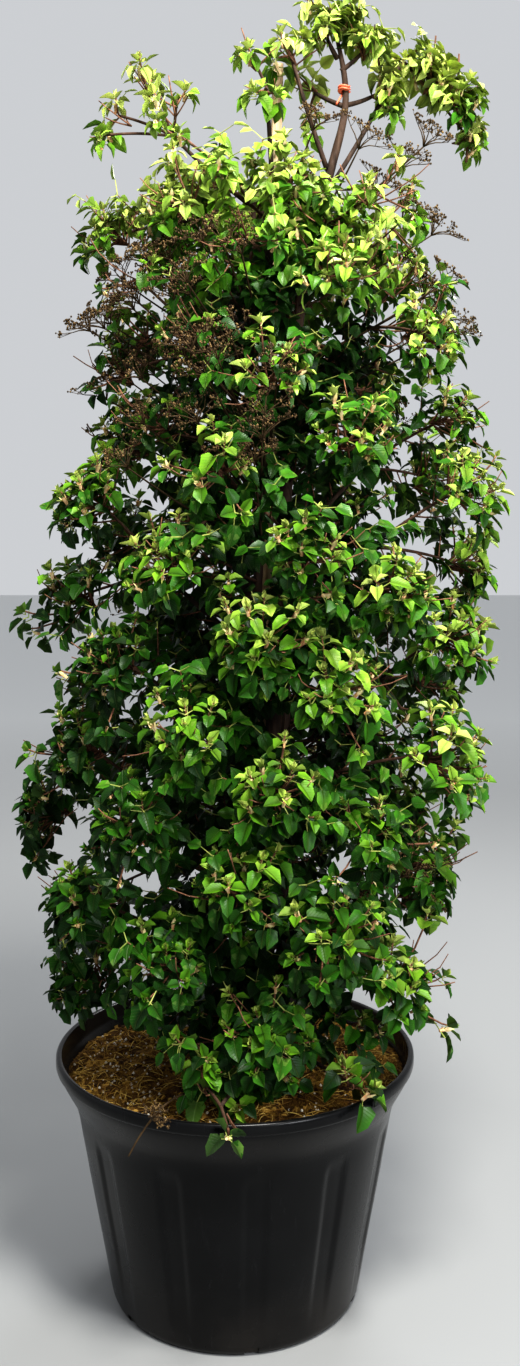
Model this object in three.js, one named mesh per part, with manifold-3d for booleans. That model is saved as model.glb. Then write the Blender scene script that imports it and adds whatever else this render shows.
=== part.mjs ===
// A potted climbing hydrangea, trained up a wooden stake in a large round nursery pot.
// Millimetres, +Z up, front towards -Y. The origin is the centre of the pot's base, on the ground.
import * as THREE from "three";
import { mergeVertices } from "three/addons/utils/BufferGeometryUtils.js";
import Module from "manifold-3d";

const wasm = await Module();
wasm.setup();

// Clearance between pieces that touch
const GAP = 0.3;

// Pot: a tapered body, a collar that flares out below the rim, and a flat lip
const POT_SIDES = 36;
const BASE_RADIUS = 238;
const BASE_EDGE = 10;
const WALL = 5;
const SHOULDER_RADIUS = 303;
const SHOULDER_HEIGHT = 366;
const COLLAR_RADIUS = 311;
const COLLAR_HEIGHT = 392;
const LIP_RADIUS = 338;
const LIP_HEIGHT = 442;
const RIM_RADIUS = 345;
const RIM_DROP = 16;
const RIM_HEIGHT = 472;
const RIM_WIDTH = 11;

// Shallow upright channels round the body, with a drain notch at the foot of every second one
const CHANNELS = 12;
const CHANNEL_START = 8;
const CHANNEL_WIDTH = 40;
const CHANNEL_DEPTH = 3;
const CHANNEL_LOW = 52;
const CHANNEL_HIGH = 350;
const NOTCH_WIDTH = 26;
const NOTCH_HEIGHT = 16;
const NOTCH_DEPTH = 22;

// Soil: a low mound of bark and fibre, just below the rim
const SOIL_EDGE_HEIGHT = 432;
const SOIL_CROWN_HEIGHT = 446;
const SOIL_CLEARANCE = 2;

// Stake: sawn wood, planted right of the pot's centre and leaning a little to the right
const STAKE_WIDTH = 21;
const STAKE_FOOT = new THREE.Vector3(34, 6, 130);
const STAKE_TOP = new THREE.Vector3(82, 6, 2345);

// Main climbing stems, spread round the stake
const STEM_COUNT = 5;
const STEM_SIDES = 5;
const STEM_STEPS = 8;
const STEM_FOOT_HEIGHT = 300;
const STEM_TOP_HEIGHT = 2110;
const STEM_FOOT_RADIUS = 13;
const STEM_TOP_RADIUS = 7;
const STEM_FOOT_SPREAD = 78;
const STEM_CLIMB_SPREAD = 42;
// Share of the climb in which a stem closes in on the stake
const STEM_GATHERED = 0.2;
// Turn about the stake from foot to top, and the sway to and fro on the way, in degrees
const STEM_TURN = 70;
const STEM_SWAY = 7;
const STEM_SWAY_WAVES = 9;
const STEM_SWAY_SHIFT = 2.1;

// The strongest stem leaves the stake near the top and stands clear as the leader
const LEADER = 0;
const LEADER_STEPS = 13;
const LEADER_LEAVES_STAKE = 1750;
const LEADER_FOOT_RADIUS = 15;
const LEADER_TIP_RADIUS = 3.5;
const LEADER_TAPER = 6;
const LEADER_TOP = [
  [140, -15, 1990],
  [184, -20, 2158],
  [208, -22, 2278],
  [214, -22, 2351],
  [194, -24, 2407],
  [180, -24, 2432],
];

// Tie band round the leader
const TIE_HEIGHT = 2290;
const TIE_WIDTH = 14;
const TIE_INNER_RADIUS = 8.3;
const TIE_THICKNESS = 2;
const TIE_SIDES = 12;

// Foliage seen from the front: [height, furthest left, furthest right], at the stake's own depth
const OUTLINE = [
  [540, -300, 270],
  [640, -345, 430],
  [740, -395, 445],
  [850, -370, 432],
  [930, -420, 450],
  [1090, -350, 515],
  [1320, -345, 455],
  [1430, -350, 500],
  [1520, -318, 528],
  [1660, -235, 470],
  [1810, -300, 470],
  [1960, -290, 385],
  [2050, -275, 420],
  [2160, -225, 420],
  [2260, -150, 340],
];
// Reach to the front and back, as a share of the half width
const DEPTH_SHARE = 0.86;

// Boughs, and the leaf clusters that they end in, are spread evenly by the golden angle
const BOUGHS = 32;
const CLUSTERS = 80;
const GOLDEN_ANGLE = Math.PI * (3 - Math.sqrt(5));
const FOLIAGE_LOW = 590;
const FOLIAGE_HIGH = 2050;
// Share of the shell that is its side; the rest is the crown, which rises and closes in
const SIDE_SHARE = 0.89;
const CROWN_RISE = 60;
const CROWN_CLOSING = 0.96;
// Distances from the shell to a bough's end and to a cluster's core
const BOUGH_INSET = 210;
const CLUSTER_INSET = 69;
const BOUGH_FIRST_ANGLE = 0.4;
const BOUGH_SLOPE = 0.55;
const BOUGH_RISE = 30;
const BOUGH_TOP_MARGIN = 25;
const BOUGH_RADIUS = 5;
const BOUGH_SAG = 0.08;
const SHOOT_RADIUS = 5;
const TWIG_RADIUS = 3.2;
const TWIG_ARCH = 0.06;
const TWIG_MARGIN = 1.5;
const CORE_RADIUS = 17;
const NECK_LENGTH = 16;
const FORK_LENGTH = 8;
const FORK_SIZE = 1.5;
const NECK_SIZE = 0.8;
const CLUSTER_TILT = 0.35;
const CLUSTER_SIZES = [0.95, 1.08];
const TOP_SIZE = 0.78;
// How unevenly the clusters lie: in angle, depth and height
const CLUSTER_TURN = 0.1;
const CLUSTER_DEPTH = 14;
const CLUSTER_RISE = 25;
const CLUSTER_TRIES = 8;
const CLUSTER_SHIFT = 9;

// Leaves: oval with a drawn-out tip, folded along the midrib and waved at the edge
const LEAF_LENGTH = 98;
const LEAF_WIDTH = 76;
const LEAF_THICKNESS = 2.4;
const LEAF_MARGIN = 2.4;
const LEAF_FOLD = 0.26;
const LEAF_WAVE = 0.09;
const LEAF_DROOP = 0.2;
const LEAF_RAGGED = 0.04;
const LEAF_MIDDLE = 0.46;
const LEAF_SIZES = [0.85, 1.1];
// Angles from a cluster's axis, in degrees, and how far they vary; a leaf that touches its
// neighbours is tried again, turned further and bent in
const UPPER_LEAF_PITCH = 42;
const LOWER_LEAF_PITCH = 82;
const LEAF_PITCH_SPREAD = 9;
const LEAF_TURN_SPREAD = 14;
const LEAF_TRIES = 7;
const TRY_TURN = 0.4;
const TRY_PITCH = 5;
const BLADE_START = 0.12;
const UPPER_LEAF_SIZE = 0.8;
// One side of a leaf's edge from tip to stalk: [share of the length, share of the half width]
const LEAF_EDGE = [
  [0.76, 0.56],
  [0.48, 1],
  [0.2, 0.72],
];

// Young shoots at the top: the stem and height they grow from, their route, and their clusters,
// each with its place, its size against a full cluster and its number of leaves
const TOP_SHOOTS = [
  {
    stem: LEADER,
    rootHeight: 2408,
    route: [[178, -26, 2425]],
    clusters: [
      [150, -30, 2437, 0.34, 6],
      [203, -16, 2428, 0.34, 6],
    ],
  },
  { stem: LEADER, rootHeight: 2318, route: [[236, -30, 2352]], clusters: [[241, -34, 2374, 0.4, 6]] },
  { stem: LEADER, rootHeight: 2352, route: [[180, -38, 2366]], clusters: [[163, -44, 2380, 0.3, 5]] },
  {
    stem: LEADER,
    rootHeight: 2262,
    route: [[158, 8, 2290]],
    clusters: [
      [136, 14, 2312, 0.42, 6],
      [142, 40, 2268, 0.4, 6],
    ],
  },
  { stem: LEADER, rootHeight: 2255, route: [[250, 10, 2283]], clusters: [[276, 16, 2296, 0.5, 6]] },
  {
    stem: LEADER,
    rootHeight: 2128,
    route: [
      [146, -52, 2225],
      [116, -62, 2300],
    ],
    clusters: [[103, -64, 2342, 0.62, 6]],
  },
  {
    stem: LEADER,
    rootHeight: 2090,
    route: [
      [255, 26, 2195],
      [330, 34, 2262],
    ],
    clusters: [
      [372, 36, 2322, 0.5, 6],
      [415, 10, 2285, 0.5, 6],
      [440, 44, 2225, 0.4, 6],
      [316, 40, 2362, 0.22, 3],
    ],
  },
  {
    stem: 4,
    rootHeight: 2085,
    route: [
      [96, -84, 2180],
      [62, -96, 2262],
    ],
    clusters: [
      [34, -100, 2318, 0.46, 6],
      [58, -130, 2252, 0.44, 6],
    ],
  },
  {
    stem: 3,
    rootHeight: 2072,
    route: [
      [-60, -20, 2130],
      [-110, -30, 2198],
    ],
    clusters: [
      [-165, -36, 2296, 0.5, 6],
      [-104, -66, 2252, 0.46, 6],
      [-212, -20, 2240, 0.46, 6],
      [-240, -50, 2196, 0.3, 3],
    ],
  },
];

// Low shoots that lean out over the rim
const RIM_SHOOTS = [
  {
    stem: 0,
    rootHeight: 505,
    route: [
      [-10, -230, 512],
      [-18, -320, 496],
    ],
    clusters: [
      [-6, -366, 478, 0.3, 3],
      [-52, -262, 508, 0.5, 6],
    ],
  },
  {
    stem: 1,
    rootHeight: 490,
    route: [[160, -170, 500]],
    clusters: [[206, -248, 498, 0.5, 6]],
  },
];

// Flat flower heads, dried brown: their places, and the height at which their stalk leaves a stem
const DRIED_HEADS = [
  [350, -40, 1892, 1780],
  [-236, -60, 1706, 1600],
  [318, 20, 2150, 2010],
  [-66, -292, 1760, 1660],
  [52, -300, 1612, 1480],
  [206, -196, 806, 700],
  [60, 296, 1490, 1364],
];
const HEAD_RADIUS = 62;
const HEAD_REACHES = [0.6, 1];
const HEAD_RISES = [0.6, 1.1];
const HEAD_HUB = 6;
// The hub narrows towards its top, so that its rays start a little upwards
const HEAD_CLOSING = 0.6;
// Length of upright stalk just below the hub
const HEAD_NECK = 28;
const HEAD_SAG = 12;
const STALK_RADIUS = 3.6;
const RAY_RADIUS = 1.6;
const HEAD_RISE = 30;
const HEAD_BUD = 9;

// A dead flower stalk lies over the rim
const FALLEN_STALK = [
  [-40, -150, 462],
  [-100, -262, 482],
  [-128, -322, 481],
  [-152, -350, 458],
  [-172, -356, 424],
];
const FALLEN_ROOT_HEIGHT = 462;

const group = new THREE.Group();

function radians(degrees) {
  return (degrees * Math.PI) / 180;
}

// One repeatable draw from 0 to 1 for each pair of numbers
function draw(index, salt) {
  const wave = Math.sin(index * 127.1 + salt * 311.7) * 43758.5453;
  return wave - Math.floor(wave);
}

// A draw between two values
function between(low, high, index, salt) {
  return low + (high - low) * draw(index, salt);
}

function solidOf(geometry) {
  geometry.deleteAttribute("normal");
  geometry.deleteAttribute("uv");
  const welded = mergeVertices(geometry, 1e-3);
  const mesh = new wasm.Mesh({
    numProp: 3,
    vertProperties: welded.attributes.position.array,
    triVerts: new Uint32Array(welded.index.array),
  });
  return new wasm.Manifold(mesh);
}

// The largest body of a solid, without the loose scraps of a cut
function wholeBody(solid) {
  return solid.decompose().reduce((best, body) => (body.volume() > best.volume() ? body : best));
}

function addMesh(name, solid, color, roughness) {
  const mesh = solid.getMesh();
  const geometry = new THREE.BufferGeometry();
  geometry.setAttribute("position", new THREE.BufferAttribute(mesh.vertProperties, 3));
  geometry.setIndex(new THREE.BufferAttribute(mesh.triVerts, 1));
  geometry.computeVertexNormals();
  const material = new THREE.MeshStandardMaterial({ color, roughness, metalness: 0 });
  const node = new THREE.Mesh(geometry, material);
  node.name = name;
  group.add(node);
}

// A round body from its profile of [radius, height] points
function turned(profile) {
  const points = profile.map(([radius, height]) => new THREE.Vector2(radius, height));
  const geometry = new THREE.LatheGeometry(points, POT_SIDES);
  geometry.rotateX(Math.PI / 2);
  // A flat side faces each channel
  geometry.rotateZ(radians(CHANNEL_START + 180 / POT_SIDES));
  return solidOf(geometry);
}

// A box at a place, turned about the vertical and leaning outwards
function block(width, depth, height, centre, turn, lean) {
  const geometry = new THREE.BoxGeometry(width, depth, height);
  geometry.rotateX(lean);
  geometry.rotateZ(turn);
  geometry.translate(centre.x, centre.y, centre.z);
  return solidOf(geometry);
}

function curveThrough(points) {
  return new THREE.CatmullRomCurve3(points, false, "centripetal");
}

// A round limb along a smooth curve through the points; a high taper keeps it thick for longer
function limb(points, startRadius, endRadius, sides, steps, taper) {
  const curve = curveThrough(points);
  const frames = curve.computeFrenetFrames(steps, false);
  const geometry = new THREE.CylinderGeometry(1, 1, 1, sides, steps);
  const at = geometry.attributes.position;
  for (let i = 0; i < at.count; i++) {
    const step = Math.round((at.getY(i) + 0.5) * steps);
    const thinned = Math.pow(step / steps, taper);
    const radius = THREE.MathUtils.lerp(startRadius, endRadius, thinned);
    const place = curve.getPointAt(step / steps);
    place.addScaledVector(frames.normals[step], radius * at.getX(i));
    place.addScaledVector(frames.binormals[step], -radius * at.getZ(i));
    at.setXYZ(i, place.x, place.y, place.z);
  }
  return solidOf(geometry);
}

// Outer radius of the pot's tapered body
function bodyRadius(height) {
  return BASE_RADIUS + ((SHOULDER_RADIUS - BASE_RADIUS) * height) / SHOULDER_HEIGHT;
}

// Direction at an angle from the front, counted towards the right
function outward(angle) {
  return new THREE.Vector3(Math.sin(angle), -Math.cos(angle), 0);
}

function potSolid() {
  let pot = turned([
    [0, 0],
    [BASE_RADIUS - BASE_EDGE, 0],
    [bodyRadius(BASE_EDGE), BASE_EDGE],
    [SHOULDER_RADIUS, SHOULDER_HEIGHT],
    [COLLAR_RADIUS, COLLAR_HEIGHT],
    [LIP_RADIUS, LIP_HEIGHT],
    [RIM_RADIUS, RIM_HEIGHT - RIM_DROP],
    [RIM_RADIUS, RIM_HEIGHT],
    [RIM_RADIUS - RIM_WIDTH, RIM_HEIGHT],
    [LIP_RADIUS - WALL, LIP_HEIGHT],
    [COLLAR_RADIUS - WALL, COLLAR_HEIGHT],
    [SHOULDER_RADIUS - WALL, SHOULDER_HEIGHT],
    [bodyRadius(WALL) - WALL, WALL],
    [0, WALL],
  ]);
  const lean = Math.atan2(SHOULDER_RADIUS - BASE_RADIUS, SHOULDER_HEIGHT);
  const middle = (CHANNEL_LOW + CHANNEL_HIGH) / 2;
  for (let i = 0; i < CHANNELS; i++) {
    const turn = radians(CHANNEL_START + (i * 360) / CHANNELS);
    const depth = 2 * WALL;
    const reach = bodyRadius(middle) + depth / 2 - CHANNEL_DEPTH;
    const centre = outward(turn).multiplyScalar(reach).setZ(middle);
    const length = CHANNEL_HIGH - CHANNEL_LOW;
    pot = pot.subtract(block(CHANNEL_WIDTH, depth, length, centre, turn, lean));
    if (i % 2 === 0) {
      const foot = outward(turn).multiplyScalar(BASE_RADIUS);
      pot = pot.subtract(block(NOTCH_WIDTH, NOTCH_DEPTH, 2 * NOTCH_HEIGHT, foot, turn, 0));
    }
  }
  return pot;
}

function soilSolid(planted) {
  const inside = WALL + SOIL_CLEARANCE;
  const edge = THREE.MathUtils.mapLinear(
    SOIL_EDGE_HEIGHT,
    COLLAR_HEIGHT,
    LIP_HEIGHT,
    COLLAR_RADIUS,
    LIP_RADIUS,
  );
  const soil = turned([
    [0, WALL + GAP],
    [bodyRadius(WALL) - inside, WALL + GAP],
    [SHOULDER_RADIUS - inside, SHOULDER_HEIGHT],
    [COLLAR_RADIUS - inside, COLLAR_HEIGHT],
    [edge - inside, SOIL_EDGE_HEIGHT],
    [0, SOIL_CROWN_HEIGHT],
  ]);
  return planted.reduce((whole, piece) => whole.subtract(piece), soil);
}

// The stake's centre line at a height
function stakeAt(height) {
  const share = (height - STAKE_FOOT.z) / (STAKE_TOP.z - STAKE_FOOT.z);
  return new THREE.Vector3().lerpVectors(STAKE_FOOT, STAKE_TOP, share);
}

function stakeSolid(extra) {
  const width = STAKE_WIDTH + 2 * extra;
  const along = new THREE.Vector3().subVectors(STAKE_TOP, STAKE_FOOT);
  const geometry = new THREE.BoxGeometry(width, width, along.length() + 2 * extra);
  const upright = new THREE.Vector3(0, 0, 1);
  const lean = new THREE.Quaternion().setFromUnitVectors(upright, along.normalize());
  geometry.applyQuaternion(lean);
  const middle = new THREE.Vector3().lerpVectors(STAKE_FOOT, STAKE_TOP, 0.5);
  geometry.translate(middle.x, middle.y, middle.z);
  return solidOf(geometry);
}

// A climbing stem's angle about the stake, which turns slowly as it climbs
function stemAngle(index, height) {
  const climb = (height - STEM_FOOT_HEIGHT) / (STEM_TOP_HEIGHT - STEM_FOOT_HEIGHT);
  const sway = STEM_SWAY * Math.sin(climb * STEM_SWAY_WAVES + index * STEM_SWAY_SHIFT);
  return radians((index * 360) / STEM_COUNT + STEM_TURN * climb + sway);
}

// A climbing stem's place at a height: it rises from the soil towards the stake, then follows it
function climbingPoint(index, height) {
  const climb = (height - STEM_FOOT_HEIGHT) / (STEM_TOP_HEIGHT - STEM_FOOT_HEIGHT);
  const gathered = Math.min(1, climb / STEM_GATHERED);
  const spread = THREE.MathUtils.lerp(STEM_FOOT_SPREAD, STEM_CLIMB_SPREAD, gathered);
  return stakeAt(height).addScaledVector(outward(stemAngle(index, height)), spread);
}

function stemRoute(index) {
  const top = index === LEADER ? LEADER_LEAVES_STAKE : STEM_TOP_HEIGHT;
  const points = [];
  for (let step = 0; step <= STEM_STEPS; step++) {
    const height = THREE.MathUtils.lerp(STEM_FOOT_HEIGHT, top, step / STEM_STEPS);
    points.push(climbingPoint(index, height));
  }
  if (index === LEADER) points.push(...LEADER_TOP.map((point) => new THREE.Vector3(...point)));
  return points;
}

function stemSteps(index) {
  return index === LEADER ? LEADER_STEPS : STEM_STEPS;
}

// The middle of a stem at a height
function stemPoint(index, height) {
  const { middles } = stems[index];
  const above = Math.max(1, middles.findIndex((point) => point.z > height));
  const lower = middles[above - 1];
  const upper = middles[above];
  return lower.clone().lerp(upper, (height - lower.z) / (upper.z - lower.z));
}

function stemSolid(index, extra) {
  const isLeader = index === LEADER;
  const foot = (isLeader ? LEADER_FOOT_RADIUS : STEM_FOOT_RADIUS) + extra;
  const top = (isLeader ? LEADER_TIP_RADIUS : STEM_TOP_RADIUS) + extra;
  const taper = isLeader ? LEADER_TAPER : 1;
  return limb(stemRoute(index), foot, top, STEM_SIDES, stemSteps(index), taper);
}

// The stem that stands nearest to a direction at a height
function nearestStem(angle, height) {
  let best = 0;
  let least = Infinity;
  for (let index = 0; index < STEM_COUNT; index++) {
    const away = 1 - Math.cos(stemAngle(index, height) - angle);
    if (away < least) {
      least = away;
      best = index;
    }
  }
  return best;
}

// Left and right edges of the foliage at a height
function edgesAt(height) {
  const above = OUTLINE.findIndex(([level]) => level > height);
  const upper = OUTLINE[above < 0 ? OUTLINE.length - 1 : Math.max(above, 1)];
  const lower = OUTLINE[above < 0 ? OUTLINE.length - 2 : Math.max(above, 1) - 1];
  const share = THREE.MathUtils.clamp((height - lower[0]) / (upper[0] - lower[0]), 0, 1);
  const left = THREE.MathUtils.lerp(lower[1], upper[1], share);
  const right = THREE.MathUtils.lerp(lower[2], upper[2], share);
  return { left, right };
}

// How far the foliage reaches from the stake at a height, in a direction from the front
function reachAt(height, angle) {
  const { left, right } = edgesAt(height);
  const middle = stakeAt(height).x;
  const side = Math.sin(angle) > 0 ? right - middle : middle - left;
  const depth = (DEPTH_SHARE * (right - left)) / 2;
  return 1 / Math.hypot(Math.sin(angle) / side, Math.cos(angle) / depth);
}

// A place on the foliage's shell: up the sides and then in over the crown
function shellPlace(share, angle, inset) {
  const onSide = Math.min(1, share / SIDE_SHARE);
  const overCrown = Math.max(0, (share - SIDE_SHARE) / (1 - SIDE_SHARE));
  const height = THREE.MathUtils.lerp(FOLIAGE_LOW, FOLIAGE_HIGH, onSide) + CROWN_RISE * overCrown;
  const reach = (reachAt(height, angle) - inset) * Math.sqrt(1 - CROWN_CLOSING * overCrown);
  return stakeAt(height).addScaledVector(outward(angle), Math.max(reach, 0));
}

// A closed surface that grows outwards from three corners. A ring is three point numbers, taken
// anticlockwise as seen from outside, and stays open until something grows on it or it is closed.
class Growth {
  constructor(corners) {
    this.points = corners.map((corner) => corner.clone());
    this.faces = [];
  }

  add(place) {
    this.points.push(place);
    return this.points.length - 1;
  }

  corners(ring) {
    return ring.map((index) => this.points[index]);
  }

  // Three new points round a centre, turned from those of the ring below
  ringAbove(ring, centre, direction, radius, turn) {
    const below = this.corners(ring);
    const first = below[0].clone().sub(middleOf(below)).projectOnPlane(direction).normalize();
    return [0, 1, 2].map((i) => {
      const angle = turn + (i * 2 * Math.PI) / 3;
      const spoke = first.clone().applyAxisAngle(direction, angle);
      return this.add(centre.clone().addScaledVector(spoke, radius));
    });
  }

  // A length of twig from the ring to a new one
  extend(ring, centre, direction, radius) {
    const next = this.ringAbove(ring, centre, direction, radius, 0);
    for (let i = 0; i < 3; i++) {
      const j = (i + 1) % 3;
      this.faces.push([ring[i], ring[j], next[j]], [ring[i], next[j], next[i]]);
    }
    return next;
  }

  // A knot with seven open rings: one at its end and six round its side
  knot(ring, centre, direction, radius) {
    const next = this.ringAbove(ring, centre, direction, radius, Math.PI / 3);
    const open = [next];
    for (let i = 0; i < 3; i++) {
      const j = (i + 1) % 3;
      open.push([ring[i], ring[j], next[i]], [ring[j], next[j], next[i]]);
    }
    return open;
  }

  // Takes over what has grown on one of its open rings, with the rings that are open on it
  join(ring, { growth, open }) {
    const shift = this.points.length - 3;
    const renumber = (face) => face.map((index) => (index < 3 ? ring[index] : index + shift));
    this.points.push(...growth.points.slice(3));
    this.faces.push(...growth.faces.map(renumber));
    return open.map(renumber);
  }

  // The solid inside the surface, once its first corners and its open rings are closed
  solid(open) {
    const faces = [...this.faces, ...open, [0, 2, 1]];
    const geometry = new THREE.BufferGeometry().setFromPoints(this.points);
    geometry.setIndex(faces.flat());
    return solidOf(geometry);
  }
}

function middleOf(points) {
  const sum = points.reduce((total, point) => total.add(point), new THREE.Vector3());
  return sum.divideScalar(points.length);
}

function outwardOf([a, b, c]) {
  const toB = b.clone().sub(a);
  return toB.cross(c.clone().sub(a)).normalize();
}

// A leaf on three corners. Its upper and lower faces share their edge and part at the midrib.
function growLeaf(corners, { origin, along, normal, length, width, thickness, seed }) {
  const right = new THREE.Vector3().crossVectors(normal, along);
  const spot = (run, side, lift) => {
    const place = origin.clone().addScaledVector(along, run * length);
    place.addScaledVector(right, (side * width) / 2);
    return place.addScaledVector(normal, lift - LEAF_DROOP * run * run * length);
  };
  const growth = new Growth(corners);
  const edge = (sign) =>
    LEAF_EDGE.map(([run, side], i) => {
      const wave = (i % 2 === 0 ? LEAF_WAVE : -LEAF_WAVE) * side;
      const ragged = between(-LEAF_RAGGED, LEAF_RAGGED, seed, 7 * i + sign);
      const lift = ((side * LEAF_FOLD + wave + ragged) * width) / 2;
      return growth.add(spot(run, sign * side, lift));
    });
  const tip = growth.add(spot(1, 0, 0));
  const upper = growth.add(spot(LEAF_MIDDLE, 0, thickness / 2));
  const lower = growth.add(spot(LEAF_MIDDLE, 0, -thickness / 2));

  // The two corners furthest apart across the leaf carry its sides; the third is above or below
  const spans = [0, 1, 2].map((i) =>
    corners[(i + 2) % 3].clone().sub(corners[(i + 1) % 3]).dot(right),
  );
  const third = [0, 1, 2].reduce((best, i) => (Math.abs(spans[i]) > Math.abs(spans[best]) ? i : best));
  const isAbove = spans[third] > 0;
  const others = [(third + 1) % 3, (third + 2) % 3];
  const [leftCorner, rightCorner] = isAbove ? others : others.reverse();
  const down = [tip, ...edge(1), rightCorner];
  const back = [leftCorner, ...edge(-1).reverse()];
  const upperRim = isAbove ? [...down, third, ...back] : [...down, ...back];
  const lowerRim = isAbove ? [...down, ...back] : [...down, third, ...back];
  upperRim.forEach((point, i) => {
    growth.faces.push([upper, point, upperRim[(i + 1) % upperRim.length]]);
  });
  lowerRim.forEach((point, i) => {
    growth.faces.push([lower, lowerRim[(i + 1) % lowerRim.length], point]);
  });
  return { growth, open: [] };
}

// Solids placed so far, with the node that each belongs to
const placed = [];

function boundsOf(solid) {
  const { min, max } = solid.boundingBox();
  return new THREE.Box3(new THREE.Vector3(...min), new THREE.Vector3(...max));
}

function place(node, solid, isLeaf = false) {
  placed.push({ node, solid, isLeaf, bounds: boundsOf(solid) });
  return solid;
}

// Whether a solid is clear of every solid placed so far, apart from those it may meet
function isClear(solid, mayMeet) {
  const bounds = boundsOf(solid);
  return placed.every((other) => {
    if (mayMeet(other) || !bounds.intersectsBox(other.bounds)) return true;
    const common = solid.intersect(other.solid);
    const empty = common.isEmpty();
    common.delete();
    return empty;
  });
}

// Tries to grow one leaf on a ring of a cluster's core, bent clear of every other piece
function tryLeaf(bough, cluster, ring, index) {
  const { axis, size, seed } = cluster;
  const corners = bough.growth.corners(ring);
  const origin = middleOf(corners);
  const facing = outwardOf(corners);
  const isUpper = facing.dot(axis) > 0;
  const isOwn = (other) => other.node === bough.node;
  const isOwnWood = (other) => isOwn(other) && !other.isLeaf;
  for (let attempt = 0; attempt < LEAF_TRIES; attempt++) {
    const salt = 10 * index + attempt;
    const spin = LEAF_TURN_SPREAD * (1 + TRY_TURN * attempt);
    const turn = radians(between(-spin, spin, seed, 100 + salt));
    const steepness = (isUpper ? UPPER_LEAF_PITCH : LOWER_LEAF_PITCH) - TRY_PITCH * attempt;
    const pitch = radians(steepness + between(-LEAF_PITCH_SPREAD, LEAF_PITCH_SPREAD, seed, 200 + salt));
    const ringward = facing.clone().projectOnPlane(axis).normalize().applyAxisAngle(axis, turn);
    const along = axis.clone().multiplyScalar(Math.cos(pitch));
    along.addScaledVector(ringward, Math.sin(pitch));
    const normal = axis.clone().multiplyScalar(Math.sin(pitch));
    normal.addScaledVector(ringward, -Math.cos(pitch));
    const scale = size * between(...LEAF_SIZES, seed, 300 + salt) * (isUpper ? UPPER_LEAF_SIZE : 1);
    const leaf = {
      origin,
      along,
      normal,
      length: LEAF_LENGTH * scale,
      width: LEAF_WIDTH * scale,
      thickness: LEAF_THICKNESS,
      seed: seed + index,
    };
    const grown = growLeaf(corners, leaf);
    const whole = grown.growth.solid([]);
    if (isClear(bladeSolid(leaf), isOwnWood) && isClear(whole, isOwn)) {
      place(bough.node, whole, true);
      bough.growth.join(ring, grown);
      return true;
    }
  }
  return false;
}

// A leaf's blade by itself, a little thicker, to test what it would touch
function bladeSolid(leaf) {
  const right = new THREE.Vector3().crossVectors(leaf.normal, leaf.along);
  const start = leaf.origin.clone().addScaledVector(leaf.along, BLADE_START * leaf.length);
  const corners = [
    start.clone().addScaledVector(leaf.normal, -LEAF_THICKNESS),
    start.clone().add(right),
    start.clone().sub(right),
  ];
  const { growth } = growLeaf(corners, { ...leaf, thickness: LEAF_THICKNESS + LEAF_MARGIN });
  return growth.solid([]);
}

// A twig from an open ring to a cluster's core, which has seven open rings of its own
function growTwig(corners, { centre, axis, size }, margin) {
  const growth = new Growth(corners);
  const from = middleOf(corners);
  const middle = from.clone().lerp(centre, 0.5);
  middle.z += TWIG_ARCH * from.distanceTo(centre);
  const core = CORE_RADIUS * size;
  const neck = centre.clone().addScaledVector(axis, -NECK_LENGTH * size);
  const towards = neck.clone().sub(from).normalize();
  let ring = growth.extend([0, 1, 2], middle, towards, TWIG_RADIUS + margin);
  ring = growth.extend(ring, neck, axis.clone().add(towards).normalize(), TWIG_RADIUS * NECK_SIZE + margin);
  ring = growth.extend(ring, centre, axis, core + margin);
  const end = centre.clone().addScaledVector(axis, core);
  return { growth, open: growth.knot(ring, end, axis, core + margin) };
}

// The open ring that looks most directly at a place
function ringTowards(growth, open, place) {
  const look = (ring) => {
    const corners = growth.corners(ring);
    return outwardOf(corners).dot(place.clone().sub(middleOf(corners)).normalize());
  };
  return open.reduce((best, ring) => (look(ring) > look(best) ? ring : best));
}

// Grows a limb along the points from inside a stem, and leaves the ring at its end open
function growFromStem(stem, rootHeight, points, startRadius, endRadius) {
  const path = [stemPoint(stem, rootHeight), ...points];
  const direction = (i) => {
    const before = path[Math.max(i - 1, 0)];
    const after = path[Math.min(i + 1, path.length - 1)];
    return after.clone().sub(before).normalize();
  };
  const up = new THREE.Vector3(0, 0, 1).projectOnPlane(direction(0)).normalize();
  const corners = [0, 1, 2].map((i) => {
    const spoke = up.clone().applyAxisAngle(direction(0), (i * 2 * Math.PI) / 3);
    return path[0].clone().addScaledVector(spoke, startRadius);
  });
  const growth = new Growth(corners);
  let ring = [0, 1, 2];
  for (let i = 1; i < path.length; i++) {
    const radius = THREE.MathUtils.lerp(startRadius, endRadius, i / (path.length - 1));
    ring = growth.extend(ring, path[i], direction(i), radius);
  }
  const last = path.length - 1;
  return { growth, ring, end: path[last], direction: direction(last) };
}

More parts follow.
